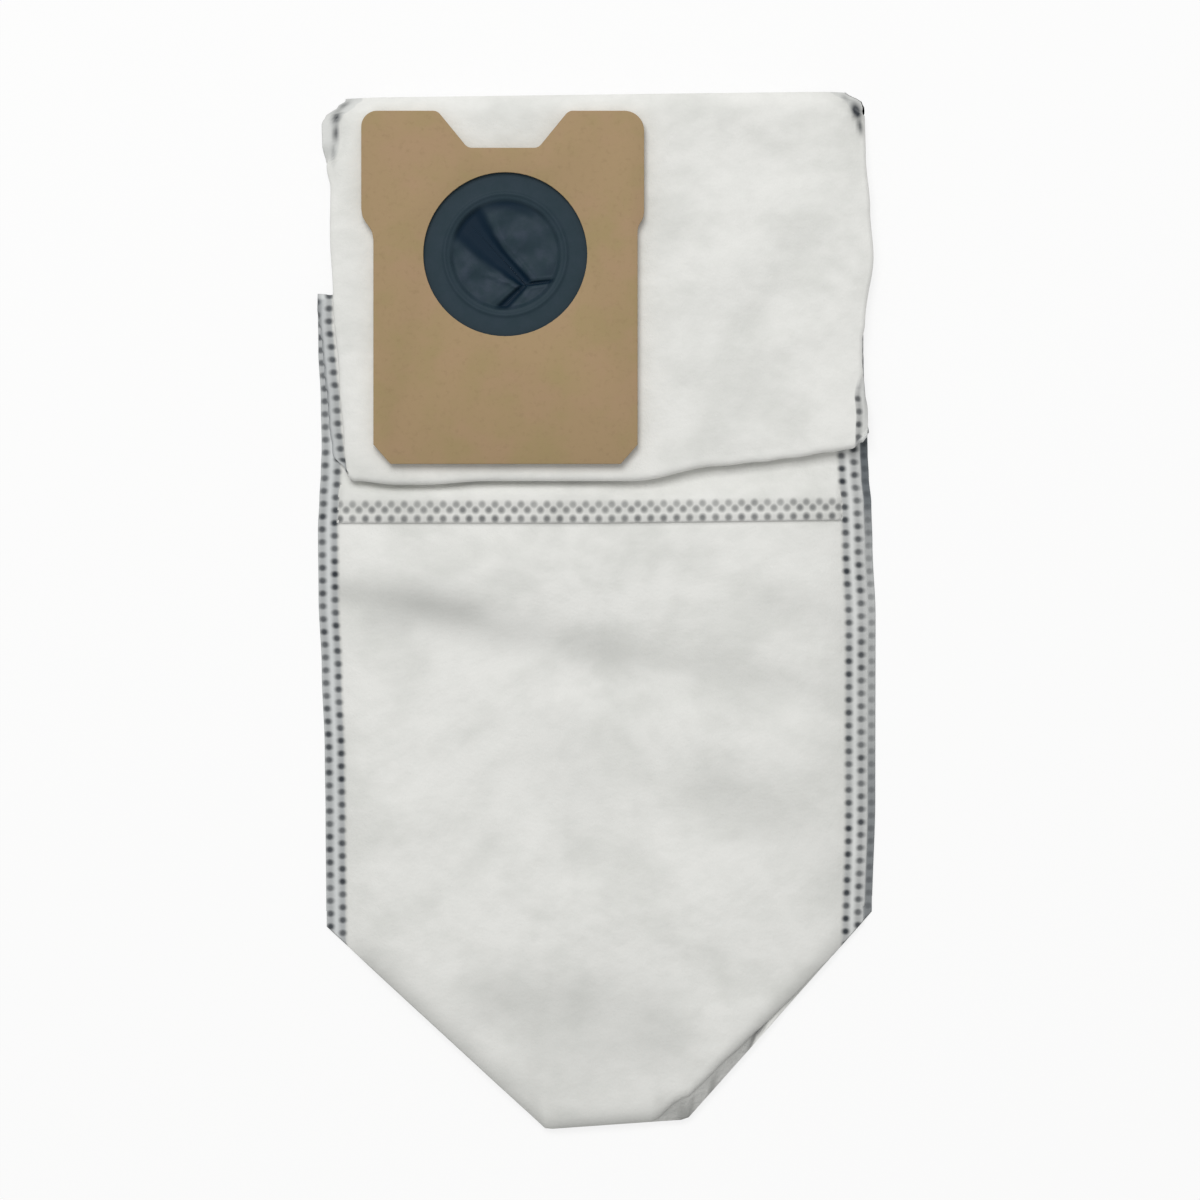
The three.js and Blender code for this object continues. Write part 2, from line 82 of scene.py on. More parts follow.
def colour(name, text, description):
    """A colour property, given as sRGB hex."""
    return FloatVectorProperty(name=name, subtype="COLOR", default=srgb(text), min=0, max=1,
                               description=description)


class DustBagSizes(bpy.types.PropertyGroup):
    """Sizes of the bag, its welds and its seal"""

    ply: length("Ply", 0.9, "Thickness of one ply of fleece")
    weld_thickness: length("Weld thickness", 1.1, "Two plies pressed together in a weld strip")
    web_width: length("Web width", 197, "Width of the flat fleece web")
    body_length: length("Body length", 295.4, "From the bottom fold to the left end of the upper fold")
    fold_slant: length("Fold slant", 14.5, "How much lower the upper fold ends at the right")
    flap_drop: length("Flap drop", 66, "From the upper fold down to the flap's lower fold")
    flap_length: length("Flap length", 138.3, "From the flap's lower fold to the top of the bag")
    flap_corner_rise: length("Corner rise", 15, "How far the lower fold rises at the right")
    body_rise: length("Body rise", 6.4, "Height of the body as it lies")
    left_flange: length("Left strip", 7, "Width of the left weld strip")
    right_flange: length("Right strip", 11.2, "Width of the right weld strip, with its under lip")
    dot_diameter: length("Dot diameter", 2.5, "Diameter of one weld dot")
    dot_depth: length("Dot depth", 0.32, "How deep the weld tool presses a dot")
    dot_pitch: length("Dot pitch", 4.6, "Distance between dots along a row")
    lap_from_foot: length("Lap height", 215.3, "From the bottom fold to the cut edge of the lap")
    fleece_hole: length("Fleece hole", 46, "Hole in the fleece behind the seal")
    seal_diameter: length("Seal", 65.8, "Outer diameter of the rubber seal")


class DustBagColours(bpy.types.PropertyGroup):
    """Colours of the fleece, the boards, the rubber and the stage"""

    fleece: colour("Fleece", "E9E9E5", "Off-white filter fleece")
    fleece_cloud: colour("Fleece cloud", "D2D3CE", "Denser patches in the fleece")
    # Painted shade: fleece greyed along the body's creases and the foot's edges and diagonals
    fleece_painted_shade: colour("Fleece fold", "A9AAA6", "Fleece that is rubbed grey along a fold")
    weld: colour("Weld dot", "2C3137", "Fleece melted grey by the weld tool")
    strip: colour("Weld strip", "C6CACC", "Pressed fleece between the dots")
    # Grey of the ply under the right strip, partly painted shade where the strip above shadows it; also the
    # colour of the painted shade on the flap's and the middle layer's strips
    lip: colour("Under lip", "6C7276", "Grey edge of the ply that shows under the right strip")
    board: colour("Board", "A38B69", "Brown kraft board")
    board_olive: colour("Board olive", "9C8A62", "Greener patches in the board")
    board_pink: colour("Board pink", "A78A6E", "Redder patches in the board")
    board_dark: colour("Board fleck", "8C7656", "Dark fibres in the board")
    rubber: colour("Rubber", "24343C", "Blue-black rubber of the rim")
    # Bloom, and a painted highlight along the raised lips of the slit
    rubber_pale: colour("Rubber bloom", "323D49", "Rubber greyed by bloom where it is stretched")
    # Painted shade on the rubber, down in the slit and under the rim at the top of the opening
    rubber_painted_shade: colour("Rubber fold", "021A2A", "Rubber down in the fold of the slit")
    floor: colour("Floor", "F4F4F3", "Pale table")


def millimetres(group):
    """The lengths of a property group as plain numbers in millimetres."""
    return SimpleNamespace(**{name: getattr(group, name) / MM for name in group.__annotations__})


# Places taken from the frame, in millimetres

def corners(node):
    low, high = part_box(node)
    return np.array(low) / MM, np.array(high) / MM


BAG_LOW, BAG_HIGH = corners("fleece_bag")
FRONT_LOW, FRONT_HIGH = corners("collar_front_card")
COLLAR_FROM_MIDDLE = 84
INLET_FROM_LEFT = 50.9
INLET_FROM_TOP = 50.7
INLET = np.array([FRONT_LOW[0] + INLET_FROM_LEFT, FRONT_HIGH[1] - INLET_FROM_TOP])
SHIFT = np.array([FRONT_LOW[0] + COLLAR_FROM_MIDDLE, BAG_LOW[1]])
COLLAR_SEAT = BAG_HIGH[2]
COLLAR_RIGHT, COLLAR_TOP = FRONT_HIGH[:2] - SHIFT


# Small numeric helpers

def mix(a, b, share):
    return a + (b - a) * share


def ease(x, low, high):
    """Goes smoothly from 0 at low to 1 at high."""
    share = np.clip((x - low) / (high - low), 0, 1)
    return share * share * (3 - 2 * share)


def crown(inward, reach):
    """How far the fleece has filled out this far in from a weld."""
    return 1 - (1 - np.clip(inward / reach, 0, 1)) ** 2


def along_curve(points, at):
    """Reads an edge given as (level, place) pairs, with eased steps between them."""
    levels, places = np.array(points, float).T
    total = np.full(np.shape(at), places[0], float)
    for i in range(1, len(levels)):
        total += (places[i] - places[i - 1]) * ease(at, levels[i - 1], levels[i])
    return total


def ripple(x, y, wavelength, seed, count=28):
    """Smooth, repeatable ups and downs of about unit height over a plane."""
    draw = np.random.default_rng(seed)
    angles = draw.uniform(0, 2 * np.pi, count)
    lengths = wavelength * draw.uniform(0.7, 1.8, count)
    phases = draw.uniform(0, 2 * np.pi, count)
    total = np.zeros(np.broadcast(x, y).shape)
    for angle, long, phase in zip(angles, lengths, phases):
        total += np.sin(2 * np.pi * (x * np.cos(angle) + y * np.sin(angle)) / long + phase)
    return total / math.sqrt(count / 2)


def crease(x, y, start, end, width, height):
    """A soft straight ridge, or a furrow where height is negative, that fades at its ends."""
    start, end = np.array(start, float), np.array(end, float)
    run = end - start
    reach = np.hypot(*run)
    share = ((x - start[0]) * run[0] + (y - start[1]) * run[1]) / reach ** 2
    aside = ((x - start[0]) * run[1] - (y - start[1]) * run[0]) / reach
    fade = ease(share, -0.15, 0.2) * (1 - ease(share, 0.8, 1.15))
    return height * fade * np.exp(-(aside / width) ** 2)


# Shape of the bag in millimetres

# The bottom fold is level 0, and x is measured from the middle of the web. A curve is a list of
# pairs: how far along it, and its place or height there. A crease or a stroke of painted shade is its two
# ends, its width, and its height or strength. A smear is its middle, two half widths, turn and strength

LEFT_EDGE = [(71.6, 1.75), (107, 1.5), (131, 1.2), (160, 0.15), (188, -1.0), (213, -1.2),
             (224, -0.7), (233, -0.2), (242, 0.1), (259, -0.2), (277, -1.1), (295, -1.4)]
RIGHT_CREASE = [(71, 86.3), (114, 87.5), (181, 87.6), (208, 86.5), (222, 86.1), (232, 85.2),
                (240, 84.8), (260, 84.2), (281, 84.4)]
FLAP_LEFT = [(228, -89.3), (238, -90.2), (262, -92.0), (294, -94.3), (318, -95.4), (334, -95.2),
             (342, -96.6), (351, -98.3), (358.5, -98.5), (361, -97.2), (365, -92.6), (367, -90.0)]
FLAP_RIGHT = [(246, 95.4), (252, 95.4), (262, 94.3), (272, 93.4), (279, 93.4), (285, 94.4), (308, 97.4),
              (325, 96.2), (345, 94.7), (362, 94.4), (364, 93.6), (368, 87.6)]
MIDDLE_LEFT = [(0, -94.6), (0.15, -94.6), (0.3, -93.7), (0.44, -92.9), (0.58, -91.9), (0.72, -91.5),
               (0.87, -90.5), (1, -90.0)]
SET_BACK = [(18, 0), (30, 7.6), (42, 6.2), (52, 4.2), (62, 2.4), (74, 0.9), (84, 0)]
FLAP_RISE = [(12, 0), (43, 5.4), (57, 6.8), (68, 8.2), (82, 10.3), (89.5, 11.4), (93.3, 13.7),
             (95.4, 15.7)]
DRAWN_CORNER_RISE = 15
WEB_LEFT = -98.5
TOP_LEFT = (-90, -1.7)
TOP_RIGHT = (87, 0.6)
LOWER_FOLD_ABOVE = 0.7
LOWER_FOLD_DIP = 1.3
LOWER_FOLD_CORNER = 2.2
# Strength of the under lip's grey up the right strip, partly painted shade where the strip shadows the lower
# ply
LIP_SHADE = [(76, 0.75), (100, 0.8), (124, 0.65), (142, 0.35), (188, 0.15), (204, 0.3), (215, 0.6),
             (224, 0.95), (246, 1.0), (252, 0.3), (268, 0.15), (273, 0.7), (281, 0.6)]
BODY_CREASES = [
    ((-97, 188), (-20, 174), 13, -1.0), ((-24, 174), (96, 154), 13, -0.9),
    ((-95, 204), (40, 194), 10, 0.7), ((8, 148), (84, 130), 12, 1.0),
    ((58, 188), (92, 174), 8, -0.6), ((30, 126), (94, 90), 11, -1.3),
    ((-90, 114), (-56, 106), 13, 0.9), ((-8, 78), (44, 66), 14, 1.3), ((-44, 40), (12, 40), 11, -1.2),
    ((-14, 150), (-8, 180), 8, -0.3), ((-70, 90), (-20, 60), 10, -0.5), ((36, 44), (70, 60), 9, -0.6),
]
FLAP_CREASES = [
    ((34, 300), (80, 326), 7, 0.6), ((28, 262), (70, 300), 7, -0.7), ((24, 268), (90, 286), 5, 0.45),
    ((30, 346), (84, 338), 8, -0.6), ((50, 318), (92, 306), 7, -0.5), ((26, 330), (60, 300), 6, 0.4),
]
SMEARS = [
    (-93.2, 359.2, 2.6, 1.5, 1.4, 1.0), (-93.4, 353.6, 3.0, 1.1, 1.55, 0.9),
    (-90.6, 363.6, 2.4, 0.9, 0.6, 0.7), (-94.2, 346.5, 4.0, 0.8, 1.6, 0.45),
    (94.8, 268, 12, 0.7, 1.57, 0.6), (91.4, 361.4, 3.0, 1.7, 1.85, 1.4),
    (92.6, 356.2, 3.2, 1.0, 1.75, 0.9), (87.4, 366.2, 1.4, 1.0, 2.4, 0.5),
]
# Strokes of painted shade on the body, mostly along its creases
PAINTED_SHADE_STROKES = [
    ((-104, 193), (-40, 184), 6, 0.4), ((-74, 186), (10, 169), 8, 0.32), ((-6, 172), (84, 156), 7, 0.2),
    ((-84, 181), (-66, 178), 4, 0.2), ((58, 190), (92, 178), 7, 0.16), ((34, 122), (92, 92), 10, 0.16),
    ((-50, 46), (30, 42), 12, 0.26), ((-30, 26), (34, 30), 9, 0.22), ((-16, 150), (-8, 110), 12, 0.1),
    ((-70, 230), (84, 240), 2.6, 0.2),
]
# Painted shade along the foot's edges and diagonals, its strength by place across the web
EDGE_PAINTED_SHADE = [(-90, 0.15), (-80, 0.5), (-20, 0.5), (-8, 0.6), (30, 0.65), (40, 0.8), (88, 0.5)]
EDGE_PAINTED_SHADE_REACH = 5.5

# Foot. Its corners are tucked in along two diagonals
LEFT_TUCK = (77.7, 71.6)
RIGHT_TUCK = (67.7, 79.4)
DIAGONAL_STEEP = 1.36
FOOT_SLANT = 3.5
FOOT_ROUND = 4.2
TUCK_DEPTH = 14
TUCK_GAP = 0.22
TUCK_SLIT = 0.36

# Lap across the front
LAP_STEP = 0.8
LAP_SLANT = 1.2

# Rows of weld dots, by distance from the edge of the weld, and how strongly each shows
LAP_ROWS = (1.45, 4.6, 6.5)
LAP_STRENGTH = (0.8, 0.74, 0.62)
SIDE_ROWS = (1.2, 5.6, 9.8)
SIDE_STRENGTH = (1, 0.96, 0.6)
DENT_SPREAD = 1.25

# Side strips, left -1 and right 1: share of their width that shows, bends in degrees between two
# distances from the crease, and how far they have turned under, from the lower fold and from the end
FOLD_WIDTH = {-1: 0.76, 1: 0.85}
CORNER_WIDTH = {-1: 0.34, 1: 0.46}
FLAP_STRIP_WIDTH = 7 / 11.2
STRIP_BENDS = {-1: [(4.5, 7.0, 16)], 1: [(6.7, 7.4, 58), (7.9, 8.8, -44)]}
STRIP_TURNS = {-1: ([(0, 0.5), (9, 1)], [(16, 0.16), (34, 1)]),
               1: ([(2, 0.2), (16, 0.31), (34, 1)], [(5, 0.25), (15, 1)])}
TURNED_UNDER = math.radians(166)
CURL = 1.3
LEAST_CURL = 0.3
STRIP_LIFT = (0.35, 1.35)
FLAP_STRIP_HEIGHT = (7.4, 7.0)
FLAP_END_HEIGHT = 3.6
HIDDEN_TURN = (0.9, 1.6)
FLAP_DOTS_START = (0.12, 0.17)
FLAP_DOTS_REACH = 3.3

# Greys of the strips: the under lip, partly painted shade, painted shade on the flap's strips and on the
# middle layer's strip, and the dusty haze
LIP_STEP = (7.2, 8.3)
FLAP_STRIP_PAINTED_SHADE = 0.12
MIDDLE_STRIP_PAINTED_SHADE = 0.5
MIDDLE_STRIP_STEP = (2.2, 4.4)
STRIP_HAZE = (0.8, 0.5)
FLAP_HAZE = 0.3

# Layers where the bag is folded together
PRESSED = 1.1
FOLD_GAP = 0.5
FOLD_FILL = 14
FOLD_SQUASH = 0.3
CORNER_RISE = 1.6
FLAP_FLOOR = 5.4
END_ROUND = 7
LEAST_HEIGHT = 0.03


def levels(s):
    """Adds the levels that follow from the sizes, and where the foot's tucks begin."""
    s.flap_fold = s.body_length - s.flap_drop
    s.bag_end = s.flap_fold + s.flap_length
    s.half_width = s.web_width / 2
    s.weld_half = s.weld_thickness / 2
    s.foot_left = -s.half_width + 2.1 + LEFT_TUCK[0]
    s.foot_right = s.half_width + 0.4 - RIGHT_TUCK[0]
    return s


def foot_edge(s, x):
    left = LEFT_TUCK[1] * (s.foot_left - x) / LEFT_TUCK[0]
    middle = FOOT_SLANT * (x - s.foot_left) / (s.foot_right - s.foot_left)
    right = FOOT_SLANT + (RIGHT_TUCK[1] - FOOT_SLANT) * (x - s.foot_right) / RIGHT_TUCK[0]
    return np.where(x < s.foot_left, left, np.where(x < s.foot_right, middle, right))


def lap_edge(s, x):
    return s.lap_from_foot + LAP_SLANT * np.clip(x / s.half_width, 0, 1)


def upper_fold(s, x):
    return s.body_length - s.fold_slant * np.clip((x + s.half_width) / s.web_width, 0, 1)


def lower_fold(s, x):
    rise = along_curve(FLAP_RISE, x) * s.flap_corner_rise / DRAWN_CORNER_RISE
    dip = LOWER_FOLD_DIP * ease(x, -86, -72) * (1 - ease(x, -62, -40))
    corner = LOWER_FOLD_CORNER * ease(-x, 86.6, 90.2)
    return s.flap_fold + rise + LOWER_FOLD_ABOVE - dip + corner


def top_edge(s, x):
    return s.bag_end + np.interp(x, *zip(TOP_LEFT, TOP_RIGHT))


def seat(x):
    """Height that the flap's front is filled to. It falls off to the right of the collar."""
    return COLLAR_SEAT - ease(x, COLLAR_RIGHT + 4, COLLAR_RIGHT + 70)


def left_edge(level):
    return WEB_LEFT + along_curve(LEFT_EDGE, level)


def corner_rise(x):
    """How much higher the flap lies at its right corner."""
    return CORNER_RISE * ease(x, 58, 96)


# Rows run up the bag and columns across it

BODY, TOP, UPPER, MIDDLE, LOWER, FLAP = range(6)
FLAT_ZONES = (BODY, TOP, MIDDLE, FLAP)
EDGE_STEPS = (0, 0.12, 0.24, 0.36, 0.46, 0.56, 0.66, 0.76, 0.86, 0.94)
BODY_ROWS = 124
TOP_ROWS = 70
FOLD_ROWS = 8
MIDDLE_ROWS = 56
FLAP_ROWS = 116
MIDDLE_COLUMNS = 58
PATH_STEPS = 60
COUNTED_COLUMN = 3.3
ROWS_TO_A_DOT = 4
LAP_BAND = 11
LAP_PARTS = 4
INNER_ROW_STEP = 5
INNER_MARGIN = 0.02
HOLE_MARGIN = 2
FAR_IN = -4
FAR_BELOW = -30


def web_rows():
    """Zone, share of the zone, and share of the rounded foot for every row of the web."""
    rows = [(BODY, 0, q) for q in EDGE_STEPS]
    rows += [(BODY, i / BODY_ROWS, 1) for i in range(BODY_ROWS + 1)]
    rows += [(TOP, i / TOP_ROWS, 1) for i in range(TOP_ROWS + 1)]
    rows += [(UPPER, i / FOLD_ROWS, 1) for i in range(1, FOLD_ROWS + 1)]
    rows += [(MIDDLE, i / MIDDLE_ROWS, 1) for i in range(1, MIDDLE_ROWS + 1)]
    rows += [(LOWER, i / FOLD_ROWS, 1) for i in range(1, FOLD_ROWS + 1)]
    rows += [(FLAP, i / FLAP_ROWS, 1) for i in range(1, FLAP_ROWS - 1)]
    rows += [(FLAP, 1 - q / FLAP_ROWS, 1) for q in (1.4, 0.9, 0.5, 0.22, 0.06, 0)]
    return rows


def web_columns(s):
    """Side (-1, 0 or 1), distance out from the crease, and share across for every column."""
    left = [7.0, 6.5, 5.4, 4.35, 3.3, 2.25, 1.2, 0.55]
    right = [0.55, 1.2, 2.25, 3.3, 4.35, 5.4, 6.4, 7.0, 7.4, 7.9, 8.6, 9.3, 9.9, 10.6, 11.2]
    near = [0, 0.004, 0.01, 0.018, 0.028, 0.04, 0.053]
    inner = list(np.linspace(0.066, 1 - 0.066, MIDDLE_COLUMNS))
    columns = [(-1, out * s.left_flange / left[0], 0) for out in left]
    columns += [(0, 0, share) for share in near + inner + [1 - share for share in reversed(near)]]
    columns += [(1, out * s.right_flange / right[-1], 1) for out in right]
    return columns


def split_columns(columns, parts):
    """The columns between the creases, each gap cut into equal parts."""
    shares = [share for side, _, share in columns if side == 0]
    fine = [mix(a, b, i / parts) for a, b in zip(shares, shares[1:]) for i in range(parts)]
    return [(0, 0, share) for share in fine + [shares[-1]]]


class Skin:
    """Front and back points of the web over a grid of rows and columns, in millimetres."""

    def __init__(self, s, rows, columns):
        self.s = s
        self.zone = np.array([row[0] for row in rows])
        self.v = np.array([row[1] for row in rows], float)
        self.q = np.array([row[2] for row in rows], float)
        self.side = np.array([column[0] for column in columns])[None, :]
        self.full_out = np.array([column[1] for column in columns], float)[None, :]
        self.share = np.array([column[2] for column in columns], float)[None, :]
        shape = (len(rows), len(columns), 3)
        self.front = np.zeros(shape)
        self.back = np.zeros(shape)
        self.facing = np.zeros(shape)
        self.out = np.zeros(shape[:2])
        self.shown = np.ones(shape[:2])
        self.pressed = np.ones(shape[:2])
        makers = (self.body, self.top, self.upper, self.middle, self.lower, self.flap)
        for zone, make in enumerate(makers):
            chosen = self.zone == zone
            if chosen.any():
                make(chosen, self.v[chosen][:, None], self.q[chosen][:, None])
        for face in (self.back, self.front):
            face[..., 2] = np.maximum(face[..., 2], LEAST_HEIGHT)

    # Creases, and how each strip narrows and bends down outside them

    def width(self, zone, v, side):
        """Share of its full width that a strip shows at this place."""
        if zone == BODY:
            return np.ones_like(v)
        top, corner = FOLD_WIDTH[side], CORNER_WIDTH[side]
        if zone == TOP:
            return mix(1, top, ease(v, 0.6, 0.97))
        if zone == UPPER:
            return np.full_like(v, top)
        if zone == MIDDLE:
            wide = mix(top, 0.92, ease(v, 0.05, 0.3)) if side < 0 else np.full_like(v, top)
            return mix(wide, corner, ease(v, 0.8, 1) if side < 0 else ease(v, 0.1, 0.9))
        if zone == LOWER:
            return np.full_like(v, corner)
        level = v * self.s.flap_length
        if side < 0:
            return mix(corner, 1, ease(level, 0, 14))
        return mix(corner, FLAP_STRIP_WIDTH, ease(level, 20, 40))

    def turn(self, v, side):
        """How far a strip of the flap has turned under, in radians."""
        level = v * (self.s.flap_length - (0 if side < 0 else self.s.flap_corner_rise))
        end = self.s.flap_length - v * self.s.flap_length
        from_fold, from_end = STRIP_TURNS[side]
        return TURNED_UNDER * along_curve(from_fold, level) * along_curve(from_end, end)

    def bends(self, zone, v, side):
        """Start, end and angle of up to two bends in a strip."""
        if zone == BODY or zone == TOP:
            calm = 1 if zone == BODY else 1 - ease(v, 0.75, 0.98)
            return [(start, end, np.radians(angle) * calm) for start, end, angle in STRIP_BENDS[side]]
        if zone == MIDDLE and side < 0:
            calm = ease(v, 0.02, 0.16) * (1 - ease(v, 0.9, 1))
            return [(1.6, 3.4, np.radians(50) * calm)]
        if zone == FLAP or zone == LOWER:
            angle = self.turn(v if zone == FLAP else np.zeros_like(v), side)
            return [(0, CURL * np.maximum(angle, LEAST_CURL), angle)]
        return []

    def strip_path(self, zone, v, side):
        """Outward reach, drop and slope of a strip at every column, from its crease."""
        out = self.full_out * self.width(zone, v, side)
        fine = np.linspace(0, 1, PATH_STEPS + 1)[None, None, :] * out[:, :, None]
        slope = np.zeros_like(fine)
        for start, end, angle in self.bends(zone, v, side):
            start, end, angle = (np.broadcast_to(a, v.shape)[:, :, None] for a in (start, end, angle))
            share = np.clip((fine - start) / np.maximum(end - start, 1e-6), 0, 1)
            slope = slope + angle * share
        middle = (slope[:, :, 1:] + slope[:, :, :-1]) / 2
        step = (out / PATH_STEPS)[:, :, None]
        reach = (np.cos(middle) * step).sum(axis=2)
        drop = (np.sin(middle) * step).sum(axis=2)
        return out, reach, drop, slope[:, :, -1]

    def farthest(self, zone, v, side):
        """The farthest that a strip of the flap reaches outside its crease, with its ply."""
        _, reach, _, slope = self.strip_path(zone, v, side)
        here = np.broadcast_to(self.side == side, reach.shape)
        reach = reach + self.s.weld_half * np.sin(np.minimum(slope, np.pi / 2))
        return np.where(here, reach, 0).max(axis=1, keepdims=True)

    def creases(self, zone, v):
        s = self.s
        if zone == BODY:
            return (left_edge(mix(LEFT_TUCK[1], s.lap_from_foot, v)) + s.left_flange,
                    along_curve(RIGHT_CREASE, mix(RIGHT_TUCK[1], s.lap_from_foot + LAP_SLANT, v)))
        if zone == TOP:
            edge = left_edge(mix(s.lap_from_foot, s.body_length, v))
            level = mix(s.lap_from_foot + LAP_SLANT, s.body_length - s.fold_slant, v)
            return edge + s.left_flange * self.width(TOP, v, -1), along_curve(RIGHT_CREASE, level)
        top = self.creases(TOP, np.ones_like(v)) if zone in (UPPER, MIDDLE) else None
        if zone == UPPER:
            return top
        level = mix(s.flap_fold, s.bag_end, v)
        level_right = mix(s.flap_fold + s.flap_corner_rise, s.bag_end, v)
        if zone == FLAP:
            return (along_curve(FLAP_LEFT, level) + self.farthest(FLAP, v, -1),
                    along_curve(FLAP_RIGHT, level_right) - self.farthest(FLAP, v, 1))
        foot = self.creases(FLAP, np.zeros_like(v))
        if zone == LOWER:
            return foot
        left = along_curve(MIDDLE_LEFT, v)
        left = left + mix(top[0] - MIDDLE_LEFT[0][1], 0, ease(v, 0, 0.1))
        left = left + mix(0, foot[0] - MIDDLE_LEFT[-1][1], ease(v, 0.9, 1))
        return left, mix(top[1], foot[1], ease(v, 0.5, 1))

    def across(self, chosen, zone, v):
        """x, distance in from the creases, strip drop and slope for each row and column of a zone."""
        left, right = self.creases(zone, v)
        x = mix(left, right, self.share)
        drop, slope, out = np.zeros((3, *x.shape))
        for side, edge in ((-1, left), (1, right)):
            path, reach, down, tilt = self.strip_path(zone, v, side)
            here = self.side == side
            x = np.where(here, edge + side * reach, x)
            drop = np.where(here, down, drop)
            slope = np.where(here, side * tilt, slope)
            out = np.where(here, path, out)
            if zone == FLAP or zone == LOWER:
                hidden = ease(self.turn(v if zone == FLAP else np.zeros_like(v), side), *HIDDEN_TURN)
                self.pressed[chosen] = np.where(here, 1 - hidden, self.pressed[chosen])
                low = 1 - ease(v, *FLAP_DOTS_START) if zone == FLAP else 1
                dots = (1 - hidden) * low * (path < FLAP_DOTS_REACH) if side > 0 else 0
                self.shown[chosen] = np.where(here, dots, self.shown[chosen])
        inward = np.where(self.side == 0, np.minimum(x - left, right - x), -out)
        self.out[chosen] = -inward
        if zone == FLAP or zone == LOWER:
            self.shown[chosen] = np.where(self.side == 0, 0, self.shown[chosen])
        return x, inward, drop, slope

    def store(self, chosen, front, back, facing):
        self.front[chosen] = front
        self.back[chosen] = back
        self.facing[chosen] = facing

    def lift(self, x):
        """Height of the creases above the floor: the right strip steps down to its lip."""
        return np.where(x > 0, STRIP_LIFT[1], STRIP_LIFT[0])

    def flat_zone(self, chosen, x, y, top, bottom, drop, slope, crease_height, sign=1):
        """Fills rows that lie flat. Strips hang from their creases, and sign is -1 for a turned layer."""
        strip = self.side != 0
        up = np.where(strip, crease_height - drop, 0)
        tilt_x = np.where(strip, np.sin(slope), 0)
        tilt_z = np.where(strip, np.cos(slope), 1)
        half_x, half_z = tilt_x * self.s.weld_half, tilt_z * self.s.weld_half
        upper = np.stack([x + half_x, y, np.where(strip, up + half_z, top)], -1)
        lower = np.stack([x - half_x, y, np.where(strip, up - half_z, bottom)], -1)
        facing = np.stack([tilt_x, np.zeros_like(x), tilt_z], -1) * sign
        skins = (upper, lower) if sign > 0 else (lower, upper)
        self.store(chosen, *skins, facing)

    # Body, from the tucked foot to the lap

    def fill(self, x, y, inward):
        """Height of the body's upper face."""
        s = self.s
        fold = lower_fold(s, x)
        rise = mix(s.body_rise, 5.3, ease(y, s.lap_from_foot - 25, fold))
        rise = mix(rise, 2 * PRESSED, ease(y, fold - mix(4.5, 20, ease(x, -10, 60)), fold + 1))
        soft = crown(inward, 16)
        loose = 1 - ease(y, s.lap_from_foot - 8, s.flap_fold)
        swell = 0.34 * ripple(x, y * 1.3, 66, 3) + 0.1 * ripple(x, y * 1.3, 24, 5)
        for start, end, wide, height in BODY_CREASES:
            swell = swell + crease(x, y, start, end, wide, height)
        near = (y - foot_edge(s, x)) / DIAGONAL_STEEP
        tuck = np.where((x < s.foot_left) | (x > s.foot_right), 1.9, 1.2) * (1 - crown(near, 26))
        return np.maximum(rise - tuck + swell * soft * loose, 2 * PRESSED)

    def body_heights(self, x, y, inward, lap=0):
        s = self.s
        soft = crown(inward, 16)
        base = self.lift(x) + s.weld_half
        top = mix(base + s.weld_half, self.fill(x, y, inward), soft) + lap * crown(inward, 2)
        bottom = mix(base - s.weld_half, 0, crown(inward, 9))
        return top, bottom, base

    def foot_profile(self, q, top, bottom, paired):
        """Inward distance and height of the front skin round the foot, at share q of the way."""
        middle = (top + bottom) / 2
        half = (top - bottom) / 2
        bend = np.clip((q - TUCK_SLIT) / (1 - TUCK_SLIT), 0, 1) * np.pi
        fold_in = FOOT_ROUND * (1 - np.cos(bend / 2))
        fold_up = half * np.sin(bend / 2)
        radius = half / 2
        slit = mix(TUCK_DEPTH, radius, np.clip(q / TUCK_SLIT, 0, 1) ** 0.6)
        pair_in = np.where(q < TUCK_SLIT, slit, radius - radius * np.sin(bend))
        pair_in = pair_in + (FOOT_ROUND - radius) * ease(bend, np.pi / 2, np.pi)
        gap = TUCK_GAP * np.clip(q / 0.12, 0, 1)
        pair_up = np.where(q < TUCK_SLIT, gap, gap + (half - gap) * (1 - np.cos(bend)) / 2)
        return mix(fold_in, pair_in, paired), mix(fold_up, pair_up, paired), middle

    def body(self, chosen, v, q):
        s = self.s
        x, inward, drop, slope = self.across(chosen, BODY, v)
        foot = foot_edge(s, x)
        outside = np.maximum(s.foot_left - x, x - s.foot_right)
        paired = np.where(x > 0, ease(outside, 24, 46), ease(outside, 4, 20)) * (1 - ease(-inward, -6, 0))
        steep = mix(1, DIAGONAL_STEEP, ease(outside, -2, 6))
        set_back = along_curve(SET_BACK, x)
        y = mix(foot + set_back + FOOT_ROUND * steep, lap_edge(s, x), v)
        top, bottom, base = self.body_heights(x, y, inward)
        self.flat_zone(chosen, x, y, top, bottom, drop, slope, base)
        edge = (q < 1)[:, 0]
        if not edge.any():
            return
        rows = np.flatnonzero(chosen)[edge]
        xe, qe = x[edge], q[edge]
        near, up, middle = self.foot_profile(qe, top[edge], bottom[edge], paired[edge])
        strip = self.side != 0
        near = np.where(strip, FOOT_ROUND * qe, near - near.min(axis=0, keepdims=True))
        up = np.where(strip, s.weld_half * np.sin(qe * np.pi / 2), up)
        middle = np.where(strip, base[edge] - drop[edge], middle)
        pulled = np.where(qe > 0, set_back[edge], 0)
        y_back = foot[edge] + near * steep[edge]
        self.front[rows] = np.stack([xe, y_back + pulled, middle + up], -1)
        self.back[rows] = np.stack([xe, y_back, middle - up], -1)
        self.facing[rows] = (0, 0, 1)

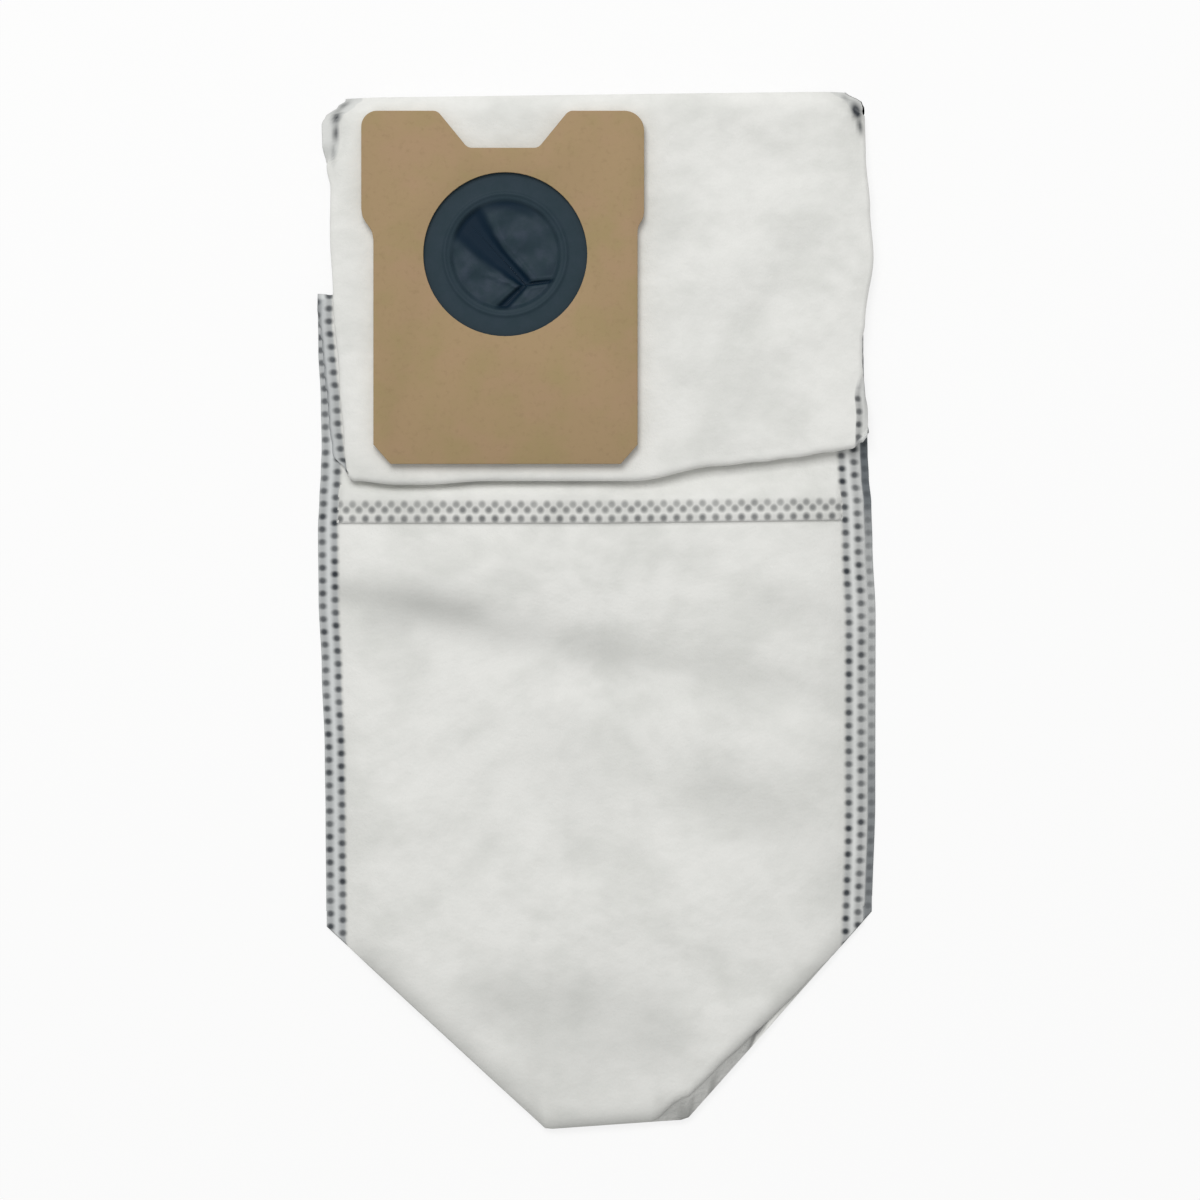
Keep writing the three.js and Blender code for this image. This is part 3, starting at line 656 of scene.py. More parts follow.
    def top(self, chosen, v, q):
        s = self.s
        x, inward, drop, slope = self.across(chosen, TOP, v)
        y = mix(lap_edge(s, x), upper_fold(s, x), v)
        lap = LAP_STEP * (1 - ease(y, lap_edge(s, x) + 9, lap_edge(s, x) + 15))
        top, bottom, base = self.body_heights(x, y, inward, lap)
        settle = ease(v, 0.72, 0.97)
        base = mix(base, s.weld_half, settle)
        flat = 2 * mix(s.weld_half, PRESSED, crown(inward, FOLD_FILL))
        top = mix(top, flat, settle)
        bottom = mix(bottom, 0, settle)
        self.flat_zone(chosen, x, y, top, bottom, drop, slope, base)

    # Folds and the hidden middle layer

    def stack(self, x, inward):
        """Heights of the three layers' middles where they are folded together."""
        s = self.s
        flat = mix(s.weld_half, PRESSED, crown(inward, FOLD_FILL))
        middle = 3 * flat + FOLD_GAP
        flap = mix(self.edge_height(x), seat(x) - PRESSED, crown(inward, FOLD_FILL)) + corner_rise(x)
        return flat, middle, flap

    def edge_height(self, x):
        """Height of the flap's side strips."""
        return np.where(x > 0, FLAP_STRIP_HEIGHT[1], FLAP_STRIP_HEIGHT[0])

    def fold(self, chosen, v, zone):
        s = self.s
        x, inward = self.across(chosen, zone, v)[:2]
        flat, middle, flap = self.stack(x, inward)
        angle = np.pi * v
        low, high = (flat, middle) if zone == UPPER else (middle, flap)
        bend = (high - low) / 2
        swing = bend * np.sin(angle)
        if zone == UPPER:
            y, squash = upper_fold(s, x) + swing, 1
        else:
            y, squash = lower_fold(s, x) + flat + FOLD_SQUASH * (bend - swing), -FOLD_SQUASH
        facing = np.stack([0 * x, 0 * x - np.sin(angle), 0 * x + squash * np.cos(angle)], -1)
        facing /= np.linalg.norm(facing, axis=-1, keepdims=True)
        at = np.stack([x, y, low + bend - bend * np.cos(angle)], -1)
        self.store(chosen, at + facing * flat[..., None], at - facing * flat[..., None], facing)

    def upper(self, chosen, v, q):
        self.fold(chosen, v, UPPER)

    def lower(self, chosen, v, q):
        self.fold(chosen, v, LOWER)

    def middle(self, chosen, v, q):
        s = self.s
        x, inward, drop, slope = self.across(chosen, MIDDLE, v)
        flat, level, flap = self.stack(x, inward)
        fold = lower_fold(s, x) + flat + FOLD_SQUASH * (flap - level) / 2
        y = mix(upper_fold(s, x), fold, v)
        level = level + 0.9 * np.sin(np.pi * v) ** 0.7 * (1 - crown(inward, 16))
        self.flat_zone(chosen, x, y, level + flat, level - flat, drop, slope, level, -1)

    # Flap, which carries the collar

    def flap_front(self, x, y, inward):
        s = self.s
        upwards = ease(y, lower_fold(s, x), lower_fold(s, x) + 7)
        free = ease(x, COLLAR_RIGHT + 3, COLLAR_RIGHT + 16)
        above = ease(y, COLLAR_TOP - 4, s.bag_end - 5) * 0.5
        swell = 0.26 * ripple(x, y, 48, 11) + 0.1 * ripple(x, y, 20, 12)
        for start, end, wide, height in FLAP_CREASES:
            swell = swell + crease(x, y, start, end, wide, height)
        return seat(x) + swell * np.maximum(free, above) * upwards

    def flap(self, chosen, v, q):
        s = self.s
        x, inward, drop, slope = self.across(chosen, FLAP, v)
        flat, low, level = self.stack(x, inward)
        start = lower_fold(s, x) + flat + FOLD_SQUASH * (level - low) / 2
        end = top_edge(s, x)
        y = mix(start, end, v)
        opened = ease(y, start, start + 6)
        wide = np.where(x > 0, 10, 8)
        edge_height = mix(self.edge_height(x), FLAP_END_HEIGHT, ease(y, end - 36, end - 4))
        rise = mix(edge_height + s.weld_half, self.flap_front(x, y, inward), crown(inward, wide))
        past = ease(y, upper_fold(s, x) + 2, upper_fold(s, x) + 26)
        under = mix(edge_height - s.weld_half, mix(FLAP_FLOOR, 0, past), crown(inward, 9))
        corner = corner_rise(x) * (1 - ease(y, s.flap_fold + 12, s.flap_fold + 50))
        front = mix(level + flat, rise + corner, opened)
        back = mix(level - flat, under + corner, opened)
        half = (front - back) / 2
        closing = np.sqrt(1 - (1 - np.clip((end - y) / END_ROUND, 0.03, 1)) ** 2)
        middle = (front + back) / 2
        half = s.weld_half + (half - s.weld_half) * closing
        base = mix(level, edge_height + corner, opened)
        self.flat_zone(chosen, x, y, middle + half, middle - half, drop, slope, base)


def dot_dent(across, up, pitch, rows, diameter):
    """How deeply a point lies in the nearest weld dot, from 0 to 1. Odd rows are shifted by half a pitch."""
    dent = np.zeros(np.broadcast(across, up).shape)
    for index, row in enumerate(rows):
        phase = up + 0.5 * (index % 2)
        along = (phase - np.round(phase)) * pitch
        distance = np.hypot(across - row, along)
        dent = np.maximum(dent, np.clip(DENT_SPREAD - distance / (diameter / 2), 0, 1))
    return dent


class Web:
    """The whole closed fleece: outer skin, inner skin and the hole for the inlet."""

    def __init__(self, s):
        self.s = s
        self.rows = web_rows()
        self.columns = web_columns(s)
        self.points = []
        self.faces = []
        self.values = {"weld_side": [], "weld_lap": [], "weld_grey_and_painted_shade": []}
        self.total = 0

    def add_points(self, points, *values):
        """Adds a grid of points with the values that the fleece's material reads there."""
        count = points.shape[0] * points.shape[1]
        index = np.arange(self.total, self.total + count).reshape(points.shape[:2])
        self.total += count
        self.points.append(points.reshape(-1, 3))
        for kept, value in zip(self.values.values(), values):
            kept.append(value.reshape(-1, 3))
        return index

    def add_quads(self, index, flip, keep=None):
        a, b = index[:-1, :-1], index[:-1, 1:]
        c, d = index[1:, 1:], index[1:, :-1]
        quads = np.stack([a, d, c, b] if flip else [a, b, c, d], -1)
        quads = quads.reshape(-1, 4) if keep is None else quads[keep]
        self.faces.extend(quads.tolist())

    def add_seam(self, first, second):
        for i in range(len(first) - 1):
            self.faces.append([first[i], first[i + 1], second[i + 1], second[i]])

    def side_counts(self, skin):
        """How many dot pitches each point lies up the left and the right strip."""
        counts = []
        body = np.flatnonzero((skin.zone == BODY) & (skin.q == 1))
        upwards = np.where(skin.zone == MIDDLE, -1, 1) * np.isin(skin.zone, FLAT_ZONES)
        for side in (-1, 1):
            near = np.abs(skin.out[0] - COUNTED_COLUMN) < 0.4
            column = np.flatnonzero((skin.side[0] == side) & near)[0]
            middle = (skin.front[:, column] + skin.back[:, column]) / 2
            steps = np.linalg.norm(np.diff(middle, axis=0), axis=1)
            run = np.concatenate([[0], np.cumsum(steps)])
            pitch = ROWS_TO_A_DOT * (run[body[-1]] - run[body[0]]) / (len(body) - 1)
            ahead = upwards[:, None] * (skin.front[..., 1] - skin.front[:, column, 1][:, None])
            counts.append((run[:, None] - run[body[0]] + ahead) / pitch)
        return counts

    def weld_places(self, skin):
        """Per point: distance out from the crease, dot count up the strip, and the weld's strength."""
        left, right = self.side_counts(skin)
        up = np.where(skin.share > 0.5, right, left)
        return np.stack([np.maximum(skin.out, FAR_IN), up, skin.shown], -1)

    def shade_places(self, skin):
        """Per point: the grey of the under lip with painted shade, painted shade on the flap's and the
        middle layer's strips, smears of melted fleece, and the weld's dusty haze on the strips, elsewhere
        painted shade along creases and the foot's edges."""
        x, y = skin.front[..., 0], skin.front[..., 1]
        on_body, on_middle, on_flap = ((np.isin(skin.zone, zones))[:, None]
                                       for zones in ((BODY, TOP), (MIDDLE,), (FLAP,)))
        left, right = skin.side < 0, skin.side > 0
        # The lip's grey is partly painted shade; the flap's strips and the middle layer's sloping outer
        # strip get painted shade
        lip = along_curve(LIP_SHADE, y) * ease(skin.out, *LIP_STEP)
        corner = FLAP_STRIP_PAINTED_SHADE * skin.pressed * on_flap * (skin.side != 0)
        under = MIDDLE_STRIP_PAINTED_SHADE * ease(skin.out, *MIDDLE_STRIP_STEP) * on_middle * left
        grey = np.where(on_body & right, lip, corner + under)

        melted = np.zeros(x.shape)
        for at_x, at_y, long, wide, turn, strength in SMEARS:
            along = (x - at_x) * math.cos(turn) + (y - at_y) * math.sin(turn)
            aside = (y - at_y) * math.cos(turn) - (x - at_x) * math.sin(turn)
            spot = strength * np.exp(-(along / long) ** 2 - (aside / wide) ** 2)
            melted = np.maximum(melted, np.where(on_flap, spot, 0))

        # Painted shade on the body along its creases and the foot's edges
        painted_light_and_bloom = np.zeros(x.shape)
        for start, end, wide, strength in PAINTED_SHADE_STROKES:
            painted_light_and_bloom = painted_light_and_bloom + crease(x, y, start, end, wide, strength)
        near = (y - foot_edge(self.s, x)) / np.where(np.abs(x) > 20, DIAGONAL_STEEP, 1)
        painted_light_and_bloom = painted_light_and_bloom + along_curve(EDGE_PAINTED_SHADE, x) * np.exp(-(near / EDGE_PAINTED_SHADE_REACH) ** 2)
        painted_light_and_bloom = np.where(on_body, np.minimum(painted_light_and_bloom, 1), 0)
        dusty = np.where(left, *STRIP_HAZE) * np.where(on_flap, FLAP_HAZE, 1)
        return np.stack([grey, melted, np.where(skin.side == 0, painted_light_and_bloom, skin.pressed * dusty)], -1)

    def lap_places(self, skin, shown):
        """Per point: dot count across the lap, height above its cut edge, and the weld's strength."""
        x, y = skin.front[..., 0], skin.front[..., 1]
        height = np.where((skin.zone == TOP)[:, None], y - lap_edge(self.s, x), FAR_BELOW)
        strength = np.where(skin.side == 0, shown, 0) + 0 * x
        return np.stack([x / self.s.dot_pitch, height, strength], -1)

    def press_sides(self, skin, places):
        """Moves the points of both faces of the strips into the weld dots."""
        s = self.s
        dent = dot_dent(places[..., 0], places[..., 1], s.dot_pitch, SIDE_ROWS, s.dot_diameter)
        dent = np.where(skin.side != 0, dent * skin.shown, 0) * (skin.q == 1)[:, None]
        skin.front -= skin.facing * (s.dot_depth * dent)[..., None]
        skin.back += skin.facing * (s.dot_depth * dent)[..., None]

    def in_hole(self, zones, front):
        """Which faces of the flap's front lie in the hole behind the seal."""
        centre = INLET - SHIFT
        middle = (front[:-1, :-1] + front[1:, 1:]) / 2
        away = np.hypot(middle[..., 0] - centre[0], middle[..., 1] - centre[1])
        on_flap = ((zones[:-1] == FLAP) & (zones[1:] == FLAP))[:, None]
        return (away < self.s.fleece_hole / 2 + HOLE_MARGIN) & on_flap

    def outer(self):
        """The fleece's outer faces, joined along the strips, at the foot and at the top."""
        skin = Skin(self.s, self.rows, self.columns)
        welds = self.weld_places(skin)
        self.press_sides(skin, welds)
        shades = self.shade_places(skin)
        front = self.add_points(skin.front, welds, self.lap_places(skin, 1.0), shades)
        strips = np.broadcast_to(skin.side != 0, skin.out.shape)[..., None]
        back = self.add_points(skin.back, welds, self.lap_places(skin, 0.0), shades * strips)
        band_start = int(np.flatnonzero(skin.zone == TOP)[0])
        band_stop = band_start + LAP_BAND
        inside = np.flatnonzero(skin.side[0] == 0)
        keep = ~self.in_hole(skin.zone, skin.front)
        keep[band_start - 1:band_stop + 1, inside[0]:inside[-1]] = False
        self.add_quads(front, False, keep)
        self.add_quads(back, True)
        self.add_seam(front[1:, 0], back[1:, 0])
        self.add_seam(back[1:, -1], front[1:, -1])
        for column in (0, -1):
            self.faces.append([front[0, column], front[1, column], back[1, column]])
        self.add_seam(back[-1], front[-1])
        self.fine_band(skin, front, band_start, band_stop, inside)
        self.inner(skin)

    def inner(self, skin):
        """The fleece's inner faces, one ply inside the outer ones. They end at the welds."""
        flat = np.isin(skin.zone, FLAT_ZONES)
        usable = (skin.q == 1) & ~((skin.zone == FLAP) & (skin.v > 1 - 4 / FLAP_ROWS))
        order = np.arange(len(skin.zone))
        rows = order[usable & (~flat | (order % INNER_ROW_STEP == 0))]
        within = (skin.share[0] > INNER_MARGIN) & (skin.share[0] < 1 - INNER_MARGIN)
        columns = np.flatnonzero((skin.side[0] == 0) & within)[::2]
        pick = np.ix_(rows, columns)
        front, back, facing = skin.front[pick], skin.back[pick], skin.facing[pick]
        gap = np.sum((front - back) * facing, -1, keepdims=True)
        ply = np.minimum(self.s.ply, gap / 2 - 0.1)
        none = np.zeros(front.shape)
        unwelded = none + (FAR_IN, 0, 0)
        inner_front = self.add_points(front - facing * ply, unwelded, none, none)
        inner_back = self.add_points(back + facing * ply, unwelded, none, none)
        self.add_quads(inner_front, True, ~self.in_hole(skin.zone[rows], front))
        self.add_quads(inner_back, False)
        self.add_seam(inner_back[:, 0], inner_front[:, 0])
        self.add_seam(inner_front[:, -1], inner_back[:, -1])
        self.add_seam(inner_front[-1], inner_back[-1])
        self.add_seam(inner_back[0], inner_front[0])

    def fine_band(self, skin, front, start, stop, inside):
        """The lap's weld, with several times as many columns, joined to the coarse rows beside it."""
        s = self.s
        fine = Skin(s, self.rows[start:stop + 1], split_columns(self.columns, LAP_PARTS))
        lap = self.lap_places(fine, 1.0)
        dent = dot_dent(lap[..., 1], lap[..., 0], s.dot_pitch, LAP_ROWS, s.dot_diameter)
        fine.front[..., 2] -= s.dot_depth * dent
        unwelded = np.zeros(fine.front.shape) + (FAR_IN, 0, 0)
        index = self.add_points(fine.front, unwelded, lap, self.shade_places(fine))
        self.add_quads(index, False)
        for row, other, flip in ((0, start - 1, False), (-1, stop + 1, True)):
            for j in range(len(inside) - 1):
                edge = [int(i) for i in index[row, j * LAP_PARTS:(j + 1) * LAP_PARTS + 1]]
                a, b = int(front[other, inside[j]]), int(front[other, inside[j + 1]])
                self.faces.append([b, a] + edge if flip else [a, b] + edge[::-1])
        self.band_edges = [(front[start:stop + 1, inside[end]], index[:, end]) for end in (0, -1)]

    def build(self):
        """Makes all faces, gives the points, and joins the ends of the fine band to the strips."""
        self.outer()
        points = np.concatenate(self.points)
        for coarse, fine in self.band_edges:
            points[fine] = points[coarse]
        return points


# Mesh helpers

def new_mesh(name, points, faces, values):
    """A mesh object in metres at the origin, with the values that its material reads."""
    mesh = bpy.data.meshes.new(name)
    mesh.from_pydata([tuple(p) for p in points * MM], [], faces)
    mesh.validate()
    for key, value in values.items():
        kind, field = ("FLOAT", "value") if value.ndim == 1 else ("FLOAT_VECTOR", "vector")
        mesh.attributes.new(key, kind, "POINT").data.foreach_set(field, value.astype(np.float32).ravel())
    piece = bpy.data.objects.new(name, mesh)
    bpy.context.scene.collection.objects.link(piece)
    return piece


def merge(piece, distance, then=lambda work: None):
    """Merges a mesh's doubles, and may then do one more step on it."""
    work = bmesh.new()
    work.from_mesh(piece.data)
    bmesh.ops.remove_doubles(work, verts=work.verts, dist=distance)
    then(work)
    work.to_mesh(piece.data)
    work.free()


def shape(piece, kind, smooth_below, **settings):
    """Applies one modifier to a piece and shades it smooth up to an angle in degrees."""
    bpy.ops.object.select_all(action="DESELECT")
    piece.select_set(True)
    bpy.context.view_layer.objects.active = piece
    modifier = piece.modifiers.new(kind.lower(), kind)
    for name, value in settings.items():
        setattr(modifier, name, value)
    bpy.ops.object.modifier_apply(modifier=modifier.name)
    bpy.ops.object.shade_smooth_by_angle(angle=math.radians(smooth_below))


# Materials. Sizes of patches and reliefs are in millimetres

FLOOR_LIFT = 0.8
ROOM_LIGHT = 0.48
DOT_CORE = 0.3
DOT_BLUR = 1.5
HAZE_REACH = (0.2, 2.3)


def node(tree, kind, inputs=(), out=0, **settings):
    """Adds a node with its settings, sets or links its inputs by name or place, and gives an output."""
    made = tree.nodes.new("ShaderNode" + kind)
    for name, value in settings.items():
        setattr(made, name, value)
    for place, value in inputs.items() if isinstance(inputs, dict) else enumerate(inputs):
        socket = made.inputs[place]
        if isinstance(value, bpy.types.NodeSocket):
            tree.links.new(value, socket)
        else:
            socket.default_value = (*value, 1) if socket.type == "RGBA" else value
    return made.outputs if out is None else made.outputs[out]


def new_material(name, **values):
    """A material, its tree, and its shader with the values that are the same all over."""
    material = bpy.data.materials.new(name)
    material.use_nodes = True
    tree = material.node_tree
    shader = next(n for n in tree.nodes if n.type == "BSDF_PRINCIPLED")
    for socket, value in values.items():
        shader.inputs[socket.replace("_", " ")].default_value = value
    return material, tree, shader


def patches(tree, place, size, rough, low, high, least=0.0, most=1.0, detail=3.0):
    """Soft patches of a size in millimetres, between two values. Low and high set how they spread."""
    inputs = {"Vector": place, "Scale": 1 / (size * MM), "Detail": detail, "Roughness": rough}
    spread = (node(tree, "TexNoise", inputs), low, high, least, most)
    return node(tree, "MapRange", spread, interpolation_type="SMOOTHSTEP")


def paint(tree, shader, base, coats):
    """Colours the shader with coats over a base colour, each as strong as its share says."""
    for share, coat in coats:
        base = node(tree, "Mix", {0: share, 6: base, 7: coat}, 2, data_type="RGBA")
    tree.links.new(base, shader.inputs["Base Color"])


def roughen(tree, shader, layers, strength, depth):
    """Gives the shader a fine relief, deep in millimetres. A layer of it is a patch size in
    millimetres, a detail, a roughness and a weight."""
    relief = 0.0
    for size, detail, rough, weight in layers:
        inputs = {"Vector": node(tree, "TexCoord", out="Object"), "Scale": 1 / (size * MM),
                  "Detail": detail, "Roughness": rough}
        layer = node(tree, "TexNoise", inputs)
        relief = node(tree, "Math", (layer, weight, relief), operation="MULTIPLY_ADD")
    bump = node(tree, "Bump", {"Strength": strength, "Distance": depth * MM, "Height": relief})
    tree.links.new(bump, shader.inputs["Normal"])


def dot_rows(tree, across, count, rows, strengths, pitch, radius, haze):
    """1 inside the weld dots of several rows, 0 outside. Odd rows are shifted by half a pitch."""
    dots = 0.0
    for index, (row, strength) in enumerate(zip(rows, strengths)):
        phase = node(tree, "Math", (count, 0.5 * (index % 2) + 0.5), operation="ADD")
        phase = node(tree, "Math", (phase,), operation="FRACT")
        along = node(tree, "Math", (phase, pitch, -0.5 * pitch), operation="MULTIPLY_ADD")
        aside = node(tree, "Math", (across, row), operation="SUBTRACT")
        square = node(tree, "Math", (along, along), operation="MULTIPLY")
        square = node(tree, "Math", (aside, aside, square), operation="MULTIPLY_ADD")
        distance = node(tree, "Math", (square,), operation="SQRT")
        band = node(tree, "Math", (aside,), operation="ABSOLUTE")
        for spread in ((distance, DOT_CORE * radius, DOT_BLUR * radius, strength, 0.0),
                       (band, *HAZE_REACH, haze * strength, 0.0)):
            spot = node(tree, "MapRange", spread, interpolation_type="SMOOTHSTEP")
            dots = node(tree, "Math", (dots, spot), operation="MAXIMUM")
    return dots


def fleece_material(colours, sizes):
    """Needled polypropylene fleece: soft, matt and off-white, with cloudy patches where the fibres lie
    denser, a felt of fine fibres on its surface, and dots that the hot weld tool has melted grey. Painted
    shade greys it along the creases and the foot's edges, and on the strips' under lip and sloping parts."""
    material, tree, shader = new_material("needled_filter_fleece", Roughness=0.92, Specular_IOR_Level=0.2,
                                          Sheen_Weight=0.25, Sheen_Roughness=0.6)
    place = node(tree, "TexCoord", out="Object")
    carded = node(tree, "Mapping", {"Vector": place, "Scale": (1, 1.35, 1)})
    clouds = (patches(tree, carded, 34, 0.55, 0.4, 0.66, most=0.45),
              patches(tree, carded, 8, 0.6, 0.35, 0.7, most=0.2))
    cloudy = node(tree, "Math", clouds, operation="ADD")

    side, lap, shade = (
        node(tree, "SeparateXYZ", (node(tree, "Attribute", out="Vector", attribute_name=name),), None)
        for name in ("weld_side", "weld_lap", "weld_grey_and_painted_shade"))
    side_radius, lap_radius = (share * sizes.dot_diameter / 2 for share in (1.2, 1.15))
    pitch = sizes.dot_pitch
    side_dots = dot_rows(tree, side[0], side[1], SIDE_ROWS, SIDE_STRENGTH, pitch, side_radius, 0.4)
    lap_dots = dot_rows(tree, lap[1], lap[0], LAP_ROWS, LAP_STRENGTH, pitch, lap_radius, 0.2)
    side_dots = node(tree, "Math", (side_dots, side[2]), operation="MULTIPLY")
    lap_dots = node(tree, "Math", (lap_dots, lap[2]), operation="MULTIPLY")
    dots = node(tree, "Math", (side_dots, lap_dots), operation="MAXIMUM")
    uneven = patches(tree, place, 9, 0.5, 0.3, 0.7, least=0.82, detail=2.0)
    dots = node(tree, "Math", (dots, uneven), operation="MULTIPLY")
    dots = node(tree, "Math", (dots, shade[1]), operation="MAXIMUM")

    outside = node(tree, "MapRange", (side[0], -0.6, 0.6), interpolation_type="SMOOTHSTEP")
    inside = node(tree, "Math", (1.0, outside), operation="SUBTRACT")
    # Painted shade on the body, away from the strips
    painted_light_and_bloom = node(tree, "Math", (inside, shade[2]), operation="MULTIPLY")
    dusty = node(tree, "Math", (shade[2], 0.85), operation="MULTIPLY")
    dusty = node(tree, "Math", (outside, dusty), operation="MULTIPLY")
    paint(tree, shader, colours.fleece, (
        (cloudy, colours.fleece_cloud), (painted_light_and_bloom, colours.fleece_painted_shade), (dusty, colours.strip),
        (shade[0], colours.lip), (dots, colours.weld)))
    # Single fibres are 0.02 mm thick, too fine to show, so the felt is drawn at 1 mm and more
    roughen(tree, shader, ((1.1, 4.0, 0.65, 1.0), (4.5, 3.0, 0.55, 1.6)), 0.4, 0.4)
    return material


def board_material(colours):
    """Pressed kraft board: matt brown, with redder and greener patches of pulp and fine dark fibres."""
    material, tree, shader = new_material("kraft_board", Roughness=0.86, Specular_IOR_Level=0.3)
    place = node(tree, "TexCoord", out="Object")
    shifted = node(tree, "Mapping", {"Vector": place, "Location": (0.31, 0.17, 0.05)})
    paint(tree, shader, colours.board, (
        (patches(tree, place, 21, 0.6, 0.42, 0.68, most=0.75), colours.board_olive),
        (patches(tree, shifted, 17, 0.6, 0.45, 0.7, most=0.5), colours.board_pink),
        (patches(tree, place, 2.2, 0.7, 0.5, 0.75, most=0.34, detail=4.0), colours.board_dark)))
    # Pulp fibres are 0.03 mm thick, so the board's grain is drawn coarser, as bundles of them
    roughen(tree, shader, ((1.5, 4.0, 0.7, 1.0),), 0.25, 0.2)
    return material


def rubber_material(colours):
    """Moulded rubber: blue-black and satin. A dusty bloom greys it in soft patches, and a painted highlight
    makes it paler along the raised lips of the slit. Painted shade darkens it down in the fold of the slit
    and under the rim at the top."""
    material, tree, shader = new_material("moulded_rubber", Roughness=0.6, Specular_IOR_Level=0.14)
    place = node(tree, "TexCoord", out="Object")
    painted_shade, bloom_and_highlight = (node(tree, "Attribute", out="Fac", attribute_name=name) for name in ("painted_shade", "bloom_and_highlight"))
    # Bloom share, raised along the slit's lips by the painted highlight
    dusty = node(tree, "Math", (bloom_and_highlight, 0.75, 0.2), operation="MULTIPLY_ADD")
    bloom = patches(tree, place, 5, 0.6, 0.32, 0.68, detail=4.0)
    bloom = node(tree, "Math", (bloom, dusty), operation="MULTIPLY")
    paint(tree, shader, colours.rubber, ((bloom, colours.rubber_pale), (painted_shade, colours.rubber_painted_shade)))
    # The mould's spark-eroded grit is 0.05 mm, too fine to show, so it is drawn as coarse as it needs
    roughen(tree, shader, ((1.5, 3.0, 0.6, 1.0),), 0.2, 0.2)
    return material


def shows_white(tree):
    """1 for the rays that see a background as it is: camera, glossy and transmission rays."""
    rays = node(tree, "LightPath", out=None)
    seen = node(tree, "Math", (rays["Is Camera Ray"], rays["Is Glossy Ray"]), operation="MAXIMUM")
    return node(tree, "Math", (seen, rays["Is Transmission Ray"]), operation="MAXIMUM")


def floor_material(colours):
    """Matt painted table. It is lifted towards white for the camera and keeps the bag's shadow."""
    material, tree, shader = new_material("matt_table", Roughness=1.0, Specular_IOR_Level=0.0)
    shader.inputs["Base Color"].default_value = (*colours.floor, 1)
    lift = node(tree, "Math", (shows_white(tree), FLOOR_LIFT), operation="MULTIPLY")
    white = node(tree, "Emission", {"Color": (1, 1, 1), "Strength": 1.0})
    lifted = node(tree, "MixShader", (lift, shader.outputs["BSDF"], white))
    output = next(n for n in tree.nodes if n.type == "OUTPUT_MATERIAL")
    tree.links.new(lifted, output.inputs["Surface"])
    return material


# Opening in the fleece

def line_hole(work, centre, radius, middle):
    """Rounds the openings of the outer and the inner faces to one circle and lines the edge between."""
    reach = radius + 9 * MM
    edges = [e for e in work.edges if e.is_boundary
             and all(math.hypot(v.co.x - centre[0], v.co.y - centre[1]) < reach for v in e.verts)]
    loops = []
    for upper in (True, False):
        ring = {v for e in edges for v in e.verts if (v.co.z > middle) == upper}
        angles = {v: math.atan2(v.co.y - centre[1], v.co.x - centre[0]) for v in ring}
        for v, angle in angles.items():
            v.co.x = centre[0] + radius * math.cos(angle)
            v.co.y = centre[1] + radius * math.sin(angle)
        loops.append(sorted(((angle, v) for v, angle in angles.items()), key=lambda pair: pair[0]))
    top, low = loops
    i = j = 0
    while i < len(top) or j < len(low):
        a, b = top[i % len(top)][1], low[j % len(low)][1]
        upper_first = j >= len(low) or (i < len(top) and top[i][0] <= low[j][0])
        i, j = (i + 1, j) if upper_first else (i, j + 1)
        c = top[i % len(top)][1] if upper_first else low[j % len(low)][1]
        work.faces.new((a, b, c))


# Seal. Its slit has one wide arm, gaping up to the left, and two narrow ones

SEAL_TOP = 11.6
SEAL_WALL = 0.65
SEAL_INNER = 20.0
SEAL_SLOPE = 1.9
SEAL_SAG = (1.25, 1.3, 27)
SEAL_RINGS = 46
SEAL_EDGE = 0.18
RIDGE_RADIUS = 21.5
RIDGE_HALF = 1.25
RIDGE_HEIGHT = 0.5
RIM_RADII = (20.35, 20.7, 21.05, 21.4, 21.75, 22.1, 22.5, 23.0, 25, 28)
RIM_BLOOM = 0.08
SLIT_MEET = np.array((7.1, -10.5))
SLIT_GAP = 0.06
SLIT_ANGLES = (-27.4, 137.7, 263.8)
SLIT_STEPS = (110, 90, 56)
WIDE_ARM_DEPTH = 1.5
WIDE_ARM_UPPER = [(0, 3.0), (9, 3.3), (14.5, 3.3), (19.5, 4.2), (23.5, 5.6), (31, 8.6)]
WIDE_ARM_LOWER = [(0, 1.8), (3, 2.7), (8, 4.3), (13.6, 6.4), (19.4, 7.4), (24, 8.2), (31, 9)]
NARROW_ARMS = {-27.4: (0.9, 0.8, 1.0), 263.8: (1.3, 2.1, 1.4)}
SHADOW_ANGLE = (88, 34)
SHADOW_REACH = (14.5, 17.5)


def arm_frame(x, y, degrees):
    """Distance along a slit arm from where the arms meet, signed distance off it, and its length."""
    angle = math.radians(degrees)
    end = SEAL_INNER * np.array((math.cos(angle), math.sin(angle)))
    run = end - SLIT_MEET
    reach = np.hypot(*run)
    dx, dy = x - SLIT_MEET[0], y - SLIT_MEET[1]
    return (dx * run[0] + dy * run[1]) / reach, (dx * run[1] - dy * run[0]) / reach, reach


